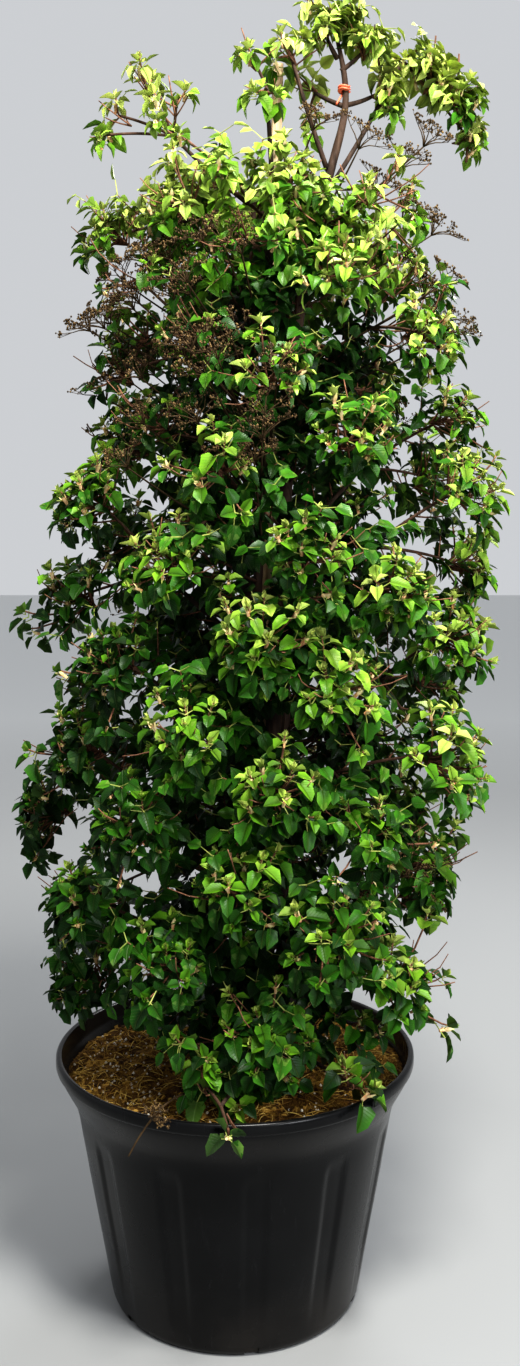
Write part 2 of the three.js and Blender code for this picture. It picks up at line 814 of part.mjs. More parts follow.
// Grows a bough's branch and its twigs. A cluster moves a little where its twig would cross another
// node, and is left out where it finds no room.
function growWood(bough) {
  const { node, stem, rootHeight, route, radius } = bough;
  const { growth, ring, end, direction } = growFromStem(stem, rootHeight, route, radius, TWIG_RADIUS);
  const fork = end.clone().addScaledVector(direction, FORK_LENGTH);
  bough.growth = growth;
  bough.open = growth.knot(ring, fork, direction, TWIG_RADIUS * FORK_SIZE);
  const mayMeet = (other) => other.node === node || other.node === stems[stem].node;
  bough.clusters = bough.clusters.filter((cluster) => {
    const home = cluster.centre.clone();
    for (let attempt = 0; attempt < CLUSTER_TRIES; attempt++) {
      const shift = new THREE.Vector3(
        between(-1, 1, cluster.seed, 60 + attempt),
        between(-1, 1, cluster.seed, 70 + attempt),
        between(-1, 1, cluster.seed, 80 + attempt),
      );
      cluster.centre.copy(home).addScaledVector(shift, CLUSTER_SHIFT * attempt);
      const start = ringTowards(bough.growth, bough.open, cluster.centre);
      const corners = bough.growth.corners(start);
      const fat = growTwig(corners, cluster, TWIG_MARGIN);
      if (isClear(fat.growth.solid(fat.open), mayMeet)) {
        bough.open = bough.open.filter((ring) => ring !== start);
        cluster.open = bough.growth.join(start, growTwig(corners, cluster, 0));
        return true;
      }
    }
    return false;
  });
  const open = bough.clusters.flatMap((cluster) => cluster.open);
  place(node, bough.growth.solid([...bough.open, ...open]));
}

// Grows the leaves on each cluster's core, and closes the rings that stay bare
function growLeaves(bough) {
  const bare = [...bough.open];
  for (const cluster of bough.clusters) {
    const [end, ...sides] = cluster.open;
    bare.push(end);
    sides.forEach((ring, index) => {
      if (index >= cluster.leaves || !tryLeaf(bough, cluster, ring, index)) bare.push(ring);
    });
  }
  bough.solid = rooted(bough.growth.solid(bare), bough.stem);
}

// A piece that starts inside a stem, cut to meet the stem's side
function rooted(solid, stem) {
  return wholeBody(solid.subtract(stems[stem].fat));
}

// The branch of a bough in the evenly spread part of the foliage
function spreadBough(index) {
  const share = (index + 0.5) / BOUGHS;
  const angle = index * GOLDEN_ANGLE + BOUGH_FIRST_ANGLE;
  const end = shellPlace(share, angle, BOUGH_INSET);
  const away = Math.hypot(end.x - stakeAt(end.z).x, end.y - stakeAt(end.z).y);
  const rootHeight = Math.min(end.z - BOUGH_RISE - BOUGH_SLOPE * away, STEM_TOP_HEIGHT - BOUGH_TOP_MARGIN);
  const stem = nearestStem(angle, rootHeight);
  const middle = stemPoint(stem, rootHeight).lerp(end, 0.5);
  middle.z -= BOUGH_SAG * away;
  const node = "bough_" + String(index + 1).padStart(2, "0");
  return { node, stem, rootHeight, route: [middle, end], clusters: [], radius: BOUGH_RADIUS };
}

function spreadCluster(index) {
  const share = (index + 0.5) / CLUSTERS;
  const angle = index * GOLDEN_ANGLE + between(-CLUSTER_TURN, CLUSTER_TURN, index, 1);
  const inset = CLUSTER_INSET + between(-CLUSTER_DEPTH, CLUSTER_DEPTH, index, 2);
  const centre = shellPlace(share, angle, inset);
  centre.z += between(-CLUSTER_RISE, CLUSTER_RISE, index, 4);
  const axis = centre.clone().sub(stakeAt(centre.z)).normalize();
  axis.z += CLUSTER_TILT;
  const size = between(...CLUSTER_SIZES, index, 5) * THREE.MathUtils.lerp(1, TOP_SIZE, share * share);
  return { centre, axis: axis.normalize(), size, leaves: 6, seed: index };
}

// A bough whose route and clusters are placed by hand
function placedBough(node, { stem, rootHeight, route, clusters }, seed) {
  const points = route.map((point) => new THREE.Vector3(...point));
  const from = points[points.length - 1];
  const ends = clusters.map(([x, y, z, size, leaves], index) => {
    const centre = new THREE.Vector3(x, y, z);
    const axis = centre.clone().sub(from).normalize();
    axis.z += CLUSTER_TILT;
    return { centre, axis: axis.normalize(), size, leaves, seed: seed + index };
  });
  return { node, stem, rootHeight, route: points, clusters: ends, radius: SHOOT_RADIUS };
}

// A flat-topped flower head: rays fan out from the end of a long stalk, each with a dry bud
function headSolid([x, y, z, rootHeight], seed) {
  const centre = new THREE.Vector3(x, y, z);
  const stake = stakeAt(rootHeight);
  const stem = nearestStem(Math.atan2(x - stake.x, stake.y - y), rootHeight);
  const knee = centre.clone();
  knee.z -= HEAD_NECK;
  const middle = stemPoint(stem, rootHeight).lerp(knee, 0.55);
  middle.z -= HEAD_SAG;
  const points = [middle, knee, centre];
  const { growth, ring, direction } = growFromStem(stem, rootHeight, points, STALK_RADIUS, RAY_RADIUS);
  const foot = centre.clone().addScaledVector(direction, HEAD_HUB);
  const top = foot.clone().addScaledVector(direction, HEAD_HUB);
  const hub = growth.extend(ring, foot, direction, HEAD_HUB);
  const bare = growth.knot(hub, top, direction, HEAD_HUB * HEAD_CLOSING).flatMap((side, index) => {
    const corners = growth.corners(side);
    const facing = outwardOf(corners).projectOnPlane(new THREE.Vector3(0, 0, 1)).normalize();
    const reach = HEAD_RADIUS * between(...HEAD_REACHES, seed, 20 + index);
    const bud = centre.clone().addScaledVector(facing, reach);
    bud.z += HEAD_RISE * between(...HEAD_RISES, seed, 40 + index);
    return growth.join(side, growRay(corners, bud));
  });
  return rooted(growth.solid(bare), stem);
}

function growRay(corners, bud) {
  const growth = new Growth(corners);
  const towards = bud.clone().sub(middleOf(corners)).normalize();
  const neck = bud.clone().addScaledVector(towards, -HEAD_BUD);
  let ring = growth.extend([0, 1, 2], neck, towards, RAY_RADIUS);
  ring = growth.extend(ring, bud, towards, HEAD_BUD);
  const end = bud.clone().addScaledVector(towards, HEAD_BUD * 0.7);
  return { growth, open: growth.knot(ring, end, towards, HEAD_BUD * 0.6) };
}

function fallenStalkSolid() {
  const stem = nearestStem(radians(-20), FALLEN_ROOT_HEIGHT);
  const points = FALLEN_STALK.map((point) => new THREE.Vector3(...point));
  const root = stemPoint(stem, FALLEN_ROOT_HEIGHT);
  return rooted(limb([root, ...points], TWIG_RADIUS, TWIG_RADIUS * 0.6, 3, 8, 1), stem);
}

function tieSolid() {
  const centre = stemPoint(LEADER, TIE_HEIGHT);
  const above = stemPoint(LEADER, TIE_HEIGHT + TIE_WIDTH);
  const inner = TIE_INNER_RADIUS;
  const outer = TIE_INNER_RADIUS + TIE_THICKNESS;
  const half = TIE_WIDTH / 2;
  const profile = [
    [inner, -half],
    [outer, -half],
    [outer, half],
    [inner, half],
    [inner, -half],
  ].map(([radius, height]) => new THREE.Vector2(radius, height));
  const geometry = new THREE.LatheGeometry(profile, TIE_SIDES);
  const along = above.sub(centre).normalize();
  geometry.applyQuaternion(new THREE.Quaternion().setFromUnitVectors(THREE.Object3D.DEFAULT_UP, along));
  geometry.translate(centre.x, centre.y, centre.z);
  return solidOf(geometry);
}

const stems = [];
for (let index = 0; index < STEM_COUNT; index++) {
  const node = "stem_" + (index + 1);
  const middles = curveThrough(stemRoute(index)).getSpacedPoints(stemSteps(index));
  const solid = place(node, stemSolid(index, 0));
  stems.push({ node, middles, solid, fat: stemSolid(index, GAP) });
}

const pot = place("pot", potSolid());
const stake = place("stake", stakeSolid(0));
const tie = place("tie_band", tieSolid());
const soil = place("soil", soilSolid([stakeSolid(GAP), ...stems.map(({ fat }) => fat)]));
const fallenStalk = place("fallen_flower_stalk", fallenStalkSolid());

const heads = DRIED_HEADS.map((head, index) => {
  const node = "dried_flower_head_" + (index + 1);
  return { node, solid: place(node, headSolid(head, 400 + index)) };
});

const spread = [];
for (let index = 0; index < BOUGHS; index++) spread.push(spreadBough(index));
for (let index = 0; index < CLUSTERS; index++) {
  const cluster = spreadCluster(index);
  const gap = ({ route }) => route[1].distanceTo(cluster.centre);
  spread.reduce((best, bough) => (gap(bough) < gap(best) ? bough : best)).clusters.push(cluster);
}
const topShoots = TOP_SHOOTS.map((shoot, index) =>
  placedBough("top_shoot_" + (index + 1), shoot, 200 + 10 * index),
);
const rimShoots = RIM_SHOOTS.map((shoot, index) =>
  placedBough("rim_shoot_" + (index + 1), shoot, 300 + 10 * index),
);
let boughs = [...topShoots, ...rimShoots, ...spread];
boughs.forEach(growWood);
boughs.forEach(growLeaves);
boughs = boughs.filter(({ clusters }) => clusters.length > 0);

addMesh("pot", pot, 0x1c1d1f, 0.45);
addMesh("soil", soil, 0x7a4a22, 1);
addMesh("stake", stake, 0xcbb48a, 0.8);
addMesh("tie_band", tie, 0xd2502a, 0.6);
addMesh("fallen_flower_stalk", fallenStalk, 0x6a4a34, 0.9);
for (const { node, solid } of stems) addMesh(node, solid, 0x5b4231, 0.9);
for (const { node, solid } of heads) addMesh(node, solid, 0x7a5a3c, 0.9);
for (const { node, solid } of boughs) addMesh(node, solid, 0x6f9a33, 0.6);

export default group;
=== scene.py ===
import math
import random

import bpy
import numpy as np
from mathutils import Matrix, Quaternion, Vector, noise
from mathutils.bvhtree import BVHTree


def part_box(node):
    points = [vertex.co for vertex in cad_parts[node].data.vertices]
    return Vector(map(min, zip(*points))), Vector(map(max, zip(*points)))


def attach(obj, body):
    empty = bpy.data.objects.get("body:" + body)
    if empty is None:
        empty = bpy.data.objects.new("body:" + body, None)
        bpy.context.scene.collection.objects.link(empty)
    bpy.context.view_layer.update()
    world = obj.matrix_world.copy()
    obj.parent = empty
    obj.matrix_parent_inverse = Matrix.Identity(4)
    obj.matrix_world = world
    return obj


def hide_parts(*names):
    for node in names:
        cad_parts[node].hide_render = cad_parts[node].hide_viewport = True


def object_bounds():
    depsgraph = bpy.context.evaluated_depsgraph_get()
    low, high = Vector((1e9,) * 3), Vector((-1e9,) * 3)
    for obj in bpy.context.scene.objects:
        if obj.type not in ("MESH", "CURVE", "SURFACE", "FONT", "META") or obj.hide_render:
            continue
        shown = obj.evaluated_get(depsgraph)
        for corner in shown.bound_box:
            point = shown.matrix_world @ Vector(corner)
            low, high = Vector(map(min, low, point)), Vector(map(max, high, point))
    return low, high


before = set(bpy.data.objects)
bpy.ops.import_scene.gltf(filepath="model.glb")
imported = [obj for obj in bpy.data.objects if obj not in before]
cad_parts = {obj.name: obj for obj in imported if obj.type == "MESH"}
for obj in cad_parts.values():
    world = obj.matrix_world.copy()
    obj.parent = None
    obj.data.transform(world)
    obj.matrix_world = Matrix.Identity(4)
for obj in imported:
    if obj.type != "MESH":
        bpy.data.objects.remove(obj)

cad_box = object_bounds()

UP = Vector((0, 0, 1))
GOLDEN_ANGLE = math.pi * (3 - math.sqrt(5))

# Camera: where the photograph was taken from, and its frame
CAMERA_PLACE = (0.048, -2.438, 1.456)
CAMERA_TILT = math.radians(2.77)
CAMERA_LENS = 33.6
CAMERA_SHIFT = -0.061

# Reading the frame's nodes. A blade's middle has more corners round it than RIM_LEAST.
BLADE_THICKNESS = 0.0026
RIM_LEAST = 6
# How far the corners of a full cluster's core lie from its centre
CORE_REACH = 0.019
# Corners nearer to a node's root than this belong to its foot
FOOT_REACH = 0.02
# Corners this near to each other belong to one fork, or to one flower head's hub
FORK_REACH = 0.013
HUB_REACH = 0.012
# Two rings of a stem are further apart than this
RING_GAP = 0.03

# Random angles run from 0 to about a full turn
ANY_ANGLE = 6.28
# Seeds of the random draws. Heads and branches count up from theirs.
SEEDS = {
    "leader": 41,
    "inner_heads": 77,
    "fallen_stalk": 5,
    "chips": 21,
    "fibres": 22,
    "granules": 23,
    "heads": 900,
    "branches": 100,
}

# Foliage: a full cluster of the frame becomes a bunch of short shoots, each ending in a rosette
SHOOTS = 13.5
SHOOT_FORWARD = 0.062
SHOOT_SIDEWAYS = 0.092
# Shoots grow in number with this power of the cluster's size, and fill a little over half a ball
SHOOT_POWER = 1.6
SHOOT_SPREAD = 1.05
# Longer shoots than this bear older leaves along them
LEAFY_REACH = 0.035
# The share of shoots that reach past the others, and how much further they go
LONG_SHOOTS = 0.17
LONG_REACHES = (1.3, 1.6)
# Old twigs without leaves in a full cluster
BARE_TWIGS = 7
# No bare stub stands up from a cluster above this height
STUB_HIGHEST = 2.33
LEAF_AT_FOOT = 0.031
LEAF_AT_TOP = 0.0265
# Blades over these sizes are drawn finer
FINE_OVER = 1.1
MIDDLE_OVER = 0.7
# Width of a blade as a share of its length, for a young leaf and for an old one
YOUNG_WIDTH = 0.72
OLD_WIDTH = 0.86
# For each pair of leaves down a rosette: angle from its axis, size, age, leaf stalk, droop
LEAF_PAIRS = [
    (math.radians(10), 0.34, -0.52, 0.000, 0.00),
    (math.radians(28), 0.54, -0.42, 0.001, 0.05),
    (math.radians(52), 0.80, -0.18, 0.004, 0.20),
    (math.radians(72), 1.02, 0.02, 0.009, 0.32),
    (math.radians(92), 1.16, 0.18, 0.015, 0.45),
]
PAIR_SPACING = 0.0065
# The same for the tight tufts of the crown
CROWN_PAIRS = [
    (math.radians(13), 0.44, -0.10, 0.0, 0.0),
    (math.radians(30), 0.62, -0.06, 0.001, 0.06),
    (math.radians(48), 0.82, 0.02, 0.002, 0.16),
    (math.radians(66), 0.98, 0.10, 0.004, 0.34),
    (math.radians(82), 1.08, 0.18, 0.006, 0.56),
    (math.radians(98), 1.10, 0.28, 0.008, 0.80),
]
CROWN_SPACING = 0.0034
# Leaves reach about this far past the tip of their shoot
SHOOT_MARGIN = 0.019
# A shorter leaf stalk is hidden, and isn't drawn
STALK_LEAST = 0.004
FOLIAGE_FOOT = 0.5
FOLIAGE_TOP = 2.3
CROWN_HEIGHTS = (1.8, 2.08)
# Leaves nearer to the plant's middle are older and darker, partly with painted shade of the inside, but for
# those of the crown
INNER_REACHES = (0.26, 0.12)
INNER_HEIGHTS = (2.1, 1.8)
# Shares of a twig's length where its older leaves stand
SHOOT_LEAVES = (0.6,)
SIDE_SHOOT_LEAVES = (0.3, 0.5, 0.65, 0.8, 0.92)
LAST_LEAVES = (0.99,)

# Wood: radii where it starts and ends, and how young its bark is, from 0 to 1
BOUGH_RADIUS = 0.0056
SLIM_BRANCH_RADIUS = 0.0050
CLUSTER_END_RADIUS = 0.0024
SHOOT_RADIUS = 0.0021
SLIM_SHOOT_RADIUS = 0.0018
STEM_SHOOT_RADII = (0.0032, 0.002)
SIDE_SHOOT_RADII = (0.0018, 0.0012)
BARE_TWIG_RADII = (0.0019, 0.0011)
STUB_RADII = (0.0028, 0.0019)
SHEATH_RADII = (0.0027, 0.0033)
YOUTH = {"limb": 0.0, "cluster": 0.15, "stem_shoot": 0.2, "stub": 0.35, "side_shoot": 0.7, "shoot": 0.8}


# Shader helpers

class Shader:
    """A material's node tree, with one short call for each kind of node it needs."""

    def __init__(self, name):
        self.material = bpy.data.materials.new(name)
        self.material.use_nodes = True
        self.tree = self.material.node_tree
        self.surface = self.tree.nodes["Principled BSDF"]
        self.output = self.tree.nodes["Material Output"]

    def node(self, kind, **settings):
        made = self.tree.nodes.new(kind)
        for key, value in settings.items():
            setattr(made, key, value)
        return made

    def plug(self, value, socket):
        if isinstance(value, bpy.types.NodeSocket):
            self.tree.links.new(value, socket)
        else:
            socket.default_value = value

    def attribute(self, name):
        return self.node("ShaderNodeAttribute", attribute_name=name).outputs["Fac"]

    def place(self, scale=(1, 1, 1)):
        coordinates = self.node("ShaderNodeTexCoord").outputs["Object"]
        mapping = self.node("ShaderNodeMapping")
        self.plug(coordinates, mapping.inputs["Vector"])
        mapping.inputs["Scale"].default_value = scale
        return mapping.outputs["Vector"]

    def noise(self, scale, detail=3, stretch=(1, 1, 1), distortion=0):
        made = self.node("ShaderNodeTexNoise")
        self.plug(self.place(stretch), made.inputs["Vector"])
        made.inputs["Scale"].default_value = scale
        made.inputs["Detail"].default_value = detail
        made.inputs["Distortion"].default_value = distortion
        return made.outputs["Fac"]

    def math(self, operation, first, second=0.0, clamp=False):
        made = self.node("ShaderNodeMath", operation=operation, use_clamp=clamp)
        for value, socket in zip((first, second), made.inputs):
            self.plug(value, socket)
        return made.outputs[0]

    def spread(self, value, low, high, to_low=0.0, to_high=1.0):
        made = self.node("ShaderNodeMapRange", clamp=True)
        for given, key in (
            (value, "Value"),
            (low, "From Min"),
            (high, "From Max"),
            (to_low, "To Min"),
            (to_high, "To Max"),
        ):
            self.plug(given, made.inputs[key])
        return made.outputs["Result"]

    def ramp(self, factor, stops):
        made = self.node("ShaderNodeValToRGB")
        self.plug(factor, made.inputs["Fac"])
        elements = made.color_ramp.elements
        while len(elements) < len(stops):
            elements.new(1.0)
        for element, (position, color) in zip(elements, stops):
            element.position = position
            element.color = (*color, 1)
        return made.outputs["Color"]

    def mix(self, factor, first, second, blend="MIX"):
        made = self.node("ShaderNodeMix", data_type="RGBA", blend_type=blend)
        self.plug(factor, made.inputs["Factor"])
        for value, key in ((first, 6), (second, 7)):
            self.plug((*value, 1) if isinstance(value, tuple) else value, made.inputs[key])
        return made.outputs[2]

    def bump(self, height, strength, distance):
        made = self.node("ShaderNodeBump")
        made.inputs["Strength"].default_value = strength
        made.inputs["Distance"].default_value = distance
        self.plug(height, made.inputs["Height"])
        self.plug(made.outputs["Normal"], self.surface.inputs["Normal"])

    def finish(self, color, roughness, specular=0.5):
        self.plug(color, self.surface.inputs["Base Color"])
        self.plug(roughness, self.surface.inputs["Roughness"])
        self.surface.inputs["Specular IOR Level"].default_value = specular
        return self.material


# Materials

# Side veins along a blade, and how far they slant on their way to its edge
SIDE_VEINS = 7.0
VEIN_SLANT = 0.34


def leaf_material():
    """Young leaves are yellow-lime and old ones deep green, with paler veins and undersides. Leaves inside
    the plant and at its lower left are darkened further with painted shade, carried in the same attribute as
    their age.
    """
    look = Shader("leaf")
    age = look.attribute("age")
    tone = look.attribute("tone")
    across = look.math("ABSOLUTE", look.attribute("across"))
    run = look.attribute("run")
    blotch = look.noise(60, 2)
    uneven = look.math("MULTIPLY", look.math("SUBTRACT", blotch, 0.5), 0.22)
    aged_and_shaded = look.math("ADD", age, uneven, clamp=True)
    green = look.ramp(
        aged_and_shaded,
        [
            (0.0, (0.57, 0.69, 0.20)),
            (0.2, (0.32, 0.50, 0.075)),
            (0.42, (0.140, 0.335, 0.018)),
            (0.68, (0.036, 0.155, 0.009)),
            (1.0, (0.008, 0.046, 0.004)),
        ],
    )
    # Side veins leave the midrib at a slant
    slant = look.math("SUBTRACT", run, look.math("MULTIPLY", across, VEIN_SLANT))
    step = look.math("FRACT", look.math("MULTIPLY", slant, SIDE_VEINS))
    wave = look.math("ABSOLUTE", look.math("SUBTRACT", step, 0.5))
    side_vein = look.spread(wave, 0.0, 0.09, 1.0, 0.0)
    midrib = look.spread(across, 0.0, 0.07, 1.0, 0.0)
    vein = look.math("MAXIMUM", midrib, look.math("MULTIPLY", side_vein, 0.55))
    pale = look.mix(0.35, green, (0.45, 0.55, 0.16))
    veined = look.mix(look.math("MULTIPLY", vein, 0.4), green, pale)
    beneath = look.ramp(
        aged_and_shaded,
        [(0.0, (0.70, 0.78, 0.24)), (0.4, (0.26, 0.42, 0.07)), (1.0, (0.09, 0.17, 0.05))],
    )
    under = look.mix(look.math("MULTIPLY", look.attribute("under"), 0.5), veined, beneath)
    own_tone = look.ramp(tone, [(0.0, (0.52, 0.56, 0.48)), (1.0, (1.28, 1.22, 1.05))])
    toned = look.mix(1.0, under, own_tone, "MULTIPLY")
    tinted = look.mix(1.0, toned, look.spread(across, 0.1, 0.95, 0.66, 1.2), "MULTIPLY")
    skin = look.math("MULTIPLY", blotch, 0.5)
    look.bump(look.math("SUBTRACT", skin, look.math("MULTIPLY", vein, 0.8)), 0.8, 0.0014)
    look.finish(tinted, look.spread(blotch, 0.3, 0.7, 0.32, 0.48), 0.19)
    through = look.node("ShaderNodeBsdfTranslucent")
    look.plug(look.mix(0.25, tinted, (0.22, 0.38, 0.03)), through.inputs["Color"])
    both = look.node("ShaderNodeMixShader")
    both.inputs["Fac"].default_value = 0.16
    look.plug(look.surface.outputs["BSDF"], both.inputs[1])
    look.plug(through.outputs["BSDF"], both.inputs[2])
    look.plug(both.outputs["Shader"], look.output.inputs["Surface"])
    return look.material


def stalk_material():
    """Leaf stalks and the green ends of shoots."""
    look = Shader("green_stalk")
    streak = look.noise(90, 3, (1, 1, 0.3))
    color = look.ramp(streak, [(0.3, (0.20, 0.27, 0.05)), (0.7, (0.42, 0.44, 0.12))])
    look.bump(streak, 0.3, 0.0005)
    return look.finish(color, 0.5, 0.35)


def scale_material():
    """Cream bud scales at the foot of each young rosette, blushed pink."""
    look = Shader("bud_scale")
    run = look.attribute("run")
    streak = look.noise(120, 3, (1, 1, 0.4))
    base = look.ramp(
        run,
        [(0.0, (0.62, 0.30, 0.13)), (0.45, (0.80, 0.62, 0.27)), (1.0, (0.62, 0.70, 0.22))],
    )
    color = look.mix(look.spread(streak, 0.35, 0.75), base, (0.86, 0.74, 0.42))
    look.bump(streak, 0.3, 0.0006)
    return look.finish(color, 0.5, 0.35)


def bark_material():
    """Brown bark that peels in strips, redder and smoother on young twigs."""
    look = Shader("bark")
    youth = look.attribute("youth")
    strips = look.noise(55, 6, (1, 1, 0.16), 1.2)
    fine = look.noise(320, 4, (1, 1, 0.35))
    old = look.ramp(
        strips,
        [(0.3, (0.009, 0.006, 0.004)), (0.5, (0.032, 0.017, 0.010)), (0.74, (0.075, 0.044, 0.028))],
    )
    young = look.ramp(fine, [(0.3, (0.095, 0.034, 0.018)), (0.7, (0.34, 0.165, 0.090))])
    color = look.mix(youth, old, young)
    look.bump(look.math("ADD", strips, look.math("MULTIPLY", fine, 0.35)), 0.8, 0.003)
    return look.finish(color, look.spread(fine, 0.3, 0.7, 0.65, 0.9), 0.25)


def dried_material():
    """Last year's flower heads, papery and brown."""
    look = Shader("dried_flower")
    tone = look.attribute("tone")
    spots = look.noise(140, 4)
    base = look.ramp(
        tone,
        [(0.0, (0.018, 0.010, 0.004)), (0.55, (0.070, 0.042, 0.016)), (1.0, (0.21, 0.135, 0.055))],
    )
    color = look.mix(look.spread(spots, 0.45, 0.75), base, (0.026, 0.015, 0.007))
    look.bump(spots, 0.4, 0.0008)
    return look.finish(color, 0.85, 0.2)


def pot_material():
    """Black moulded plastic with a satin skin, dust in its hollows and scuffs on its edges."""
    look = Shader("pot_plastic")
    cloud = look.noise(7, 5)
    grain = look.noise(900, 2)
    scratch = look.noise(70, 6, (1, 1, 0.08), 0.6)
    worn = look.spread(scratch, 0.62, 0.78)
    base = look.ramp(cloud, [(0.3, (0.0025, 0.0026, 0.0028)), (0.7, (0.0050, 0.0052, 0.0056))])
    dust = look.math("MULTIPLY", look.attribute("dust"), look.spread(cloud, 0.35, 0.65, 0.25, 0.9))
    dusty = look.mix(dust, base, (0.085, 0.07, 0.055))
    color = look.mix(look.math("MULTIPLY", worn, 0.10), dusty, (0.05, 0.05, 0.055))
    look.bump(look.math("ADD", look.math("MULTIPLY", grain, 0.5), scratch), 0.16, 0.0006)
    dullness = look.math("ADD", cloud, look.math("MULTIPLY", worn, 0.4))
    return look.finish(color, look.spread(dullness, 0.3, 1.0, 0.20, 0.38), 0.17)


def soil_material():
    """Bark and coconut fibre: orange-brown with dark damp patches."""
    look = Shader("potting_mix")
    lumps = look.noise(28, 6)
    fibre = look.noise(230, 5, (1, 0.35, 1), 2.5)
    blend = look.math("ADD", look.math("MULTIPLY", lumps, 0.55), look.math("MULTIPLY", fibre, 0.5))
    color = look.ramp(
        blend,
        [(0.36, (0.014, 0.006, 0.002)), (0.52, (0.12, 0.056, 0.010)), (0.7, (0.48, 0.27, 0.045))],
    )
    look.bump(look.math("ADD", lumps, fibre), 1.0, 0.006)
    return look.finish(color, 0.95, 0.15)


def litter_material(name, stops):
    """Loose bits on the soil, each with a tone of its own."""
    look = Shader(name)
    spots = look.noise(260, 4)
    spotted = look.spread(spots, 0.4, 0.75, 0.0, 0.5)
    color = look.mix(spotted, look.ramp(look.attribute("tone"), stops), (0.10, 0.05, 0.02))
    look.bump(spots, 0.5, 0.001)
    return look.finish(color, 0.9, 0.2)


def stake_material():
    """Pale sawn wood: grain runs along it, with weathered streaks."""
    look = Shader("stake_wood")
    grain = look.noise(75, 8, (1, 1, 0.045), 1.0)
    weather = look.noise(9, 4, (1, 1, 0.4))
    base = look.ramp(
        grain,
        [(0.3, (0.26, 0.155, 0.075)), (0.52, (0.53, 0.37, 0.21)), (0.75, (0.72, 0.57, 0.38))],
    )
    color = look.mix(look.spread(weather, 0.5, 0.8, 0.0, 0.55), base, (0.30, 0.25, 0.19))
    look.bump(grain, 0.7, 0.0015)
    return look.finish(color, 0.75, 0.3)


def tie_material():
    """Soft red-orange tie, faded along its edges."""
    look = Shader("tie")
    weave = look.noise(420, 3)
    color = look.ramp(weave, [(0.3, (0.62, 0.085, 0.035)), (0.75, (0.86, 0.24, 0.12))])
    look.bump(weave, 0.4, 0.0006)
    return look.finish(color, 0.55, 0.4)


CHIP_TONES = [(0.0, (0.016, 0.007, 0.002)), (0.5, (0.15, 0.068, 0.012)), (1.0, (0.60, 0.36, 0.07))]
FIBRE_TONES = [(0.0, (0.17, 0.075, 0.012)), (0.5, (0.50, 0.29, 0.05)), (1.0, (0.84, 0.60, 0.16))]
GRANULE_TONES = [(0.0, (0.62, 0.54, 0.40)), (1.0, (0.95, 0.90, 0.78))]
materials = {
    "leaf": leaf_material(),
    "stalk": stalk_material(),
    "scale": scale_material(),
    "bark": bark_material(),
    "dried": dried_material(),
    "pot": pot_material(),
    "soil": soil_material(),
    "stake": stake_material(),
    "tie": tie_material(),
    "chip": litter_material("bark_chip", CHIP_TONES),
    "fibre": litter_material("coir_fibre", FIBRE_TONES),
    "granule": litter_material("granule", GRANULE_TONES),
}


# Mesh helpers

def clamped(value):
    """The value, or the nearer of 0 and 1."""
    return min(1.0, max(0.0, value))


def smoothstep(low, high, value):
    """0 at low, 1 at high, and an even bend between them; low may be the larger of the two."""
    t = clamped((value - low) / (high - low))
    return t * t * (3 - 2 * t)


class Build:
    """Gathers triangles with their materials and attributes, and makes one object of them."""

    def __init__(self, attributes=(), face_attributes=()):
        self.points = []
        self.triangles = []
        self.slots = []
        self.count = 0
        self.attributes = {name: [] for name in attributes}
        self.face_attributes = {name: [] for name in face_attributes}

    def add(self, points, triangles, slot=0, **values):
        self.points.append(np.asarray(points, dtype=np.float64))
        self.triangles.append(np.asarray(triangles, dtype=np.int64) + self.count)
        self.slots.append(np.full(len(triangles), slot, dtype=np.int32))
        self.count += len(points)
        for name, chunks in self.attributes.items():
            given = np.asarray(values.get(name, 0.0), dtype=np.float32)
            chunks.append(np.broadcast_to(given, (len(points),)))
        for name, chunks in self.face_attributes.items():
            given = np.asarray(values.get(name, 0.0), dtype=np.float32)
            chunks.append(np.broadcast_to(given, (len(triangles),)))

    def piece(self, name, finishes, slot, *nodes, crease=None):
        """Makes the object, in the named materials, which stands for the nodes. crease is the angle in
        degrees over which an edge stays sharp."""
        points = np.concatenate(self.points)
        triangles = np.concatenate(self.triangles)
        mesh = bpy.data.meshes.new(name)
        mesh.vertices.add(len(points))
        mesh.vertices.foreach_set("co", points.astype(np.float32).ravel())
        mesh.loops.add(triangles.size)
        mesh.loops.foreach_set("vertex_index", triangles.astype(np.int32).ravel())
        mesh.polygons.add(len(triangles))
        mesh.polygons.foreach_set("loop_start", np.arange(0, triangles.size, 3, dtype=np.int32))
        mesh.polygons.foreach_set("material_index", np.concatenate(self.slots))
        mesh.update(calc_edges=True)
        mesh.polygons.foreach_set("use_smooth", np.ones(len(triangles), dtype=bool))
        for values, domain in ((self.attributes, "POINT"), (self.face_attributes, "FACE")):
            for key, chunks in values.items():
                layer = mesh.attributes.new(key, "FLOAT", domain)
                layer.data.foreach_set("value", np.concatenate(chunks))
        for finish in finishes:
            mesh.materials.append(materials[finish])
        if crease is not None:
            mesh.set_sharp_from_angle(angle=math.radians(crease))
        made = bpy.data.objects.new(name, mesh)
        bpy.context.scene.collection.objects.link(made)
        dress(made, slot, *nodes)


def dress(piece, slot, *nodes):
    """The piece rides on the plant's one body and stands for the nodes; the slot is not used."""
    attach(piece, "root")
    if nodes:
        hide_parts(*nodes)


def unit(vectors):
    """The vectors at length 1. One of no length stays as it is."""
    return vectors / np.maximum(np.linalg.norm(vectors, axis=-1, keepdims=True), 1e-12)


def wall_faces(rings, sides):
    """The triangles between rings of points."""
    faces = []
    for ring in range(rings - 1):
        for i in range(sides):
            a = ring * sides + i
            b = ring * sides + (i + 1) % sides
            faces += [(a, b, b + sides), (a, b + sides, a + sides)]
    return faces


def tube_faces(rings, sides):
    """The triangles of a tube with both ends closed."""
    last = (rings - 1) * sides
    ends = []
    for i in range(1, sides - 1):
        ends += [(0, i + 1, i), (last, last + i, last + i + 1)]
    return wall_faces(rings, sides) + ends


def repeated(triangles, size, count):
    """The triangles of count copies of a shape that has size points."""
    return (np.asarray(triangles)[None] + size * np.arange(count)[:, None, None]).reshape(-1, 3)


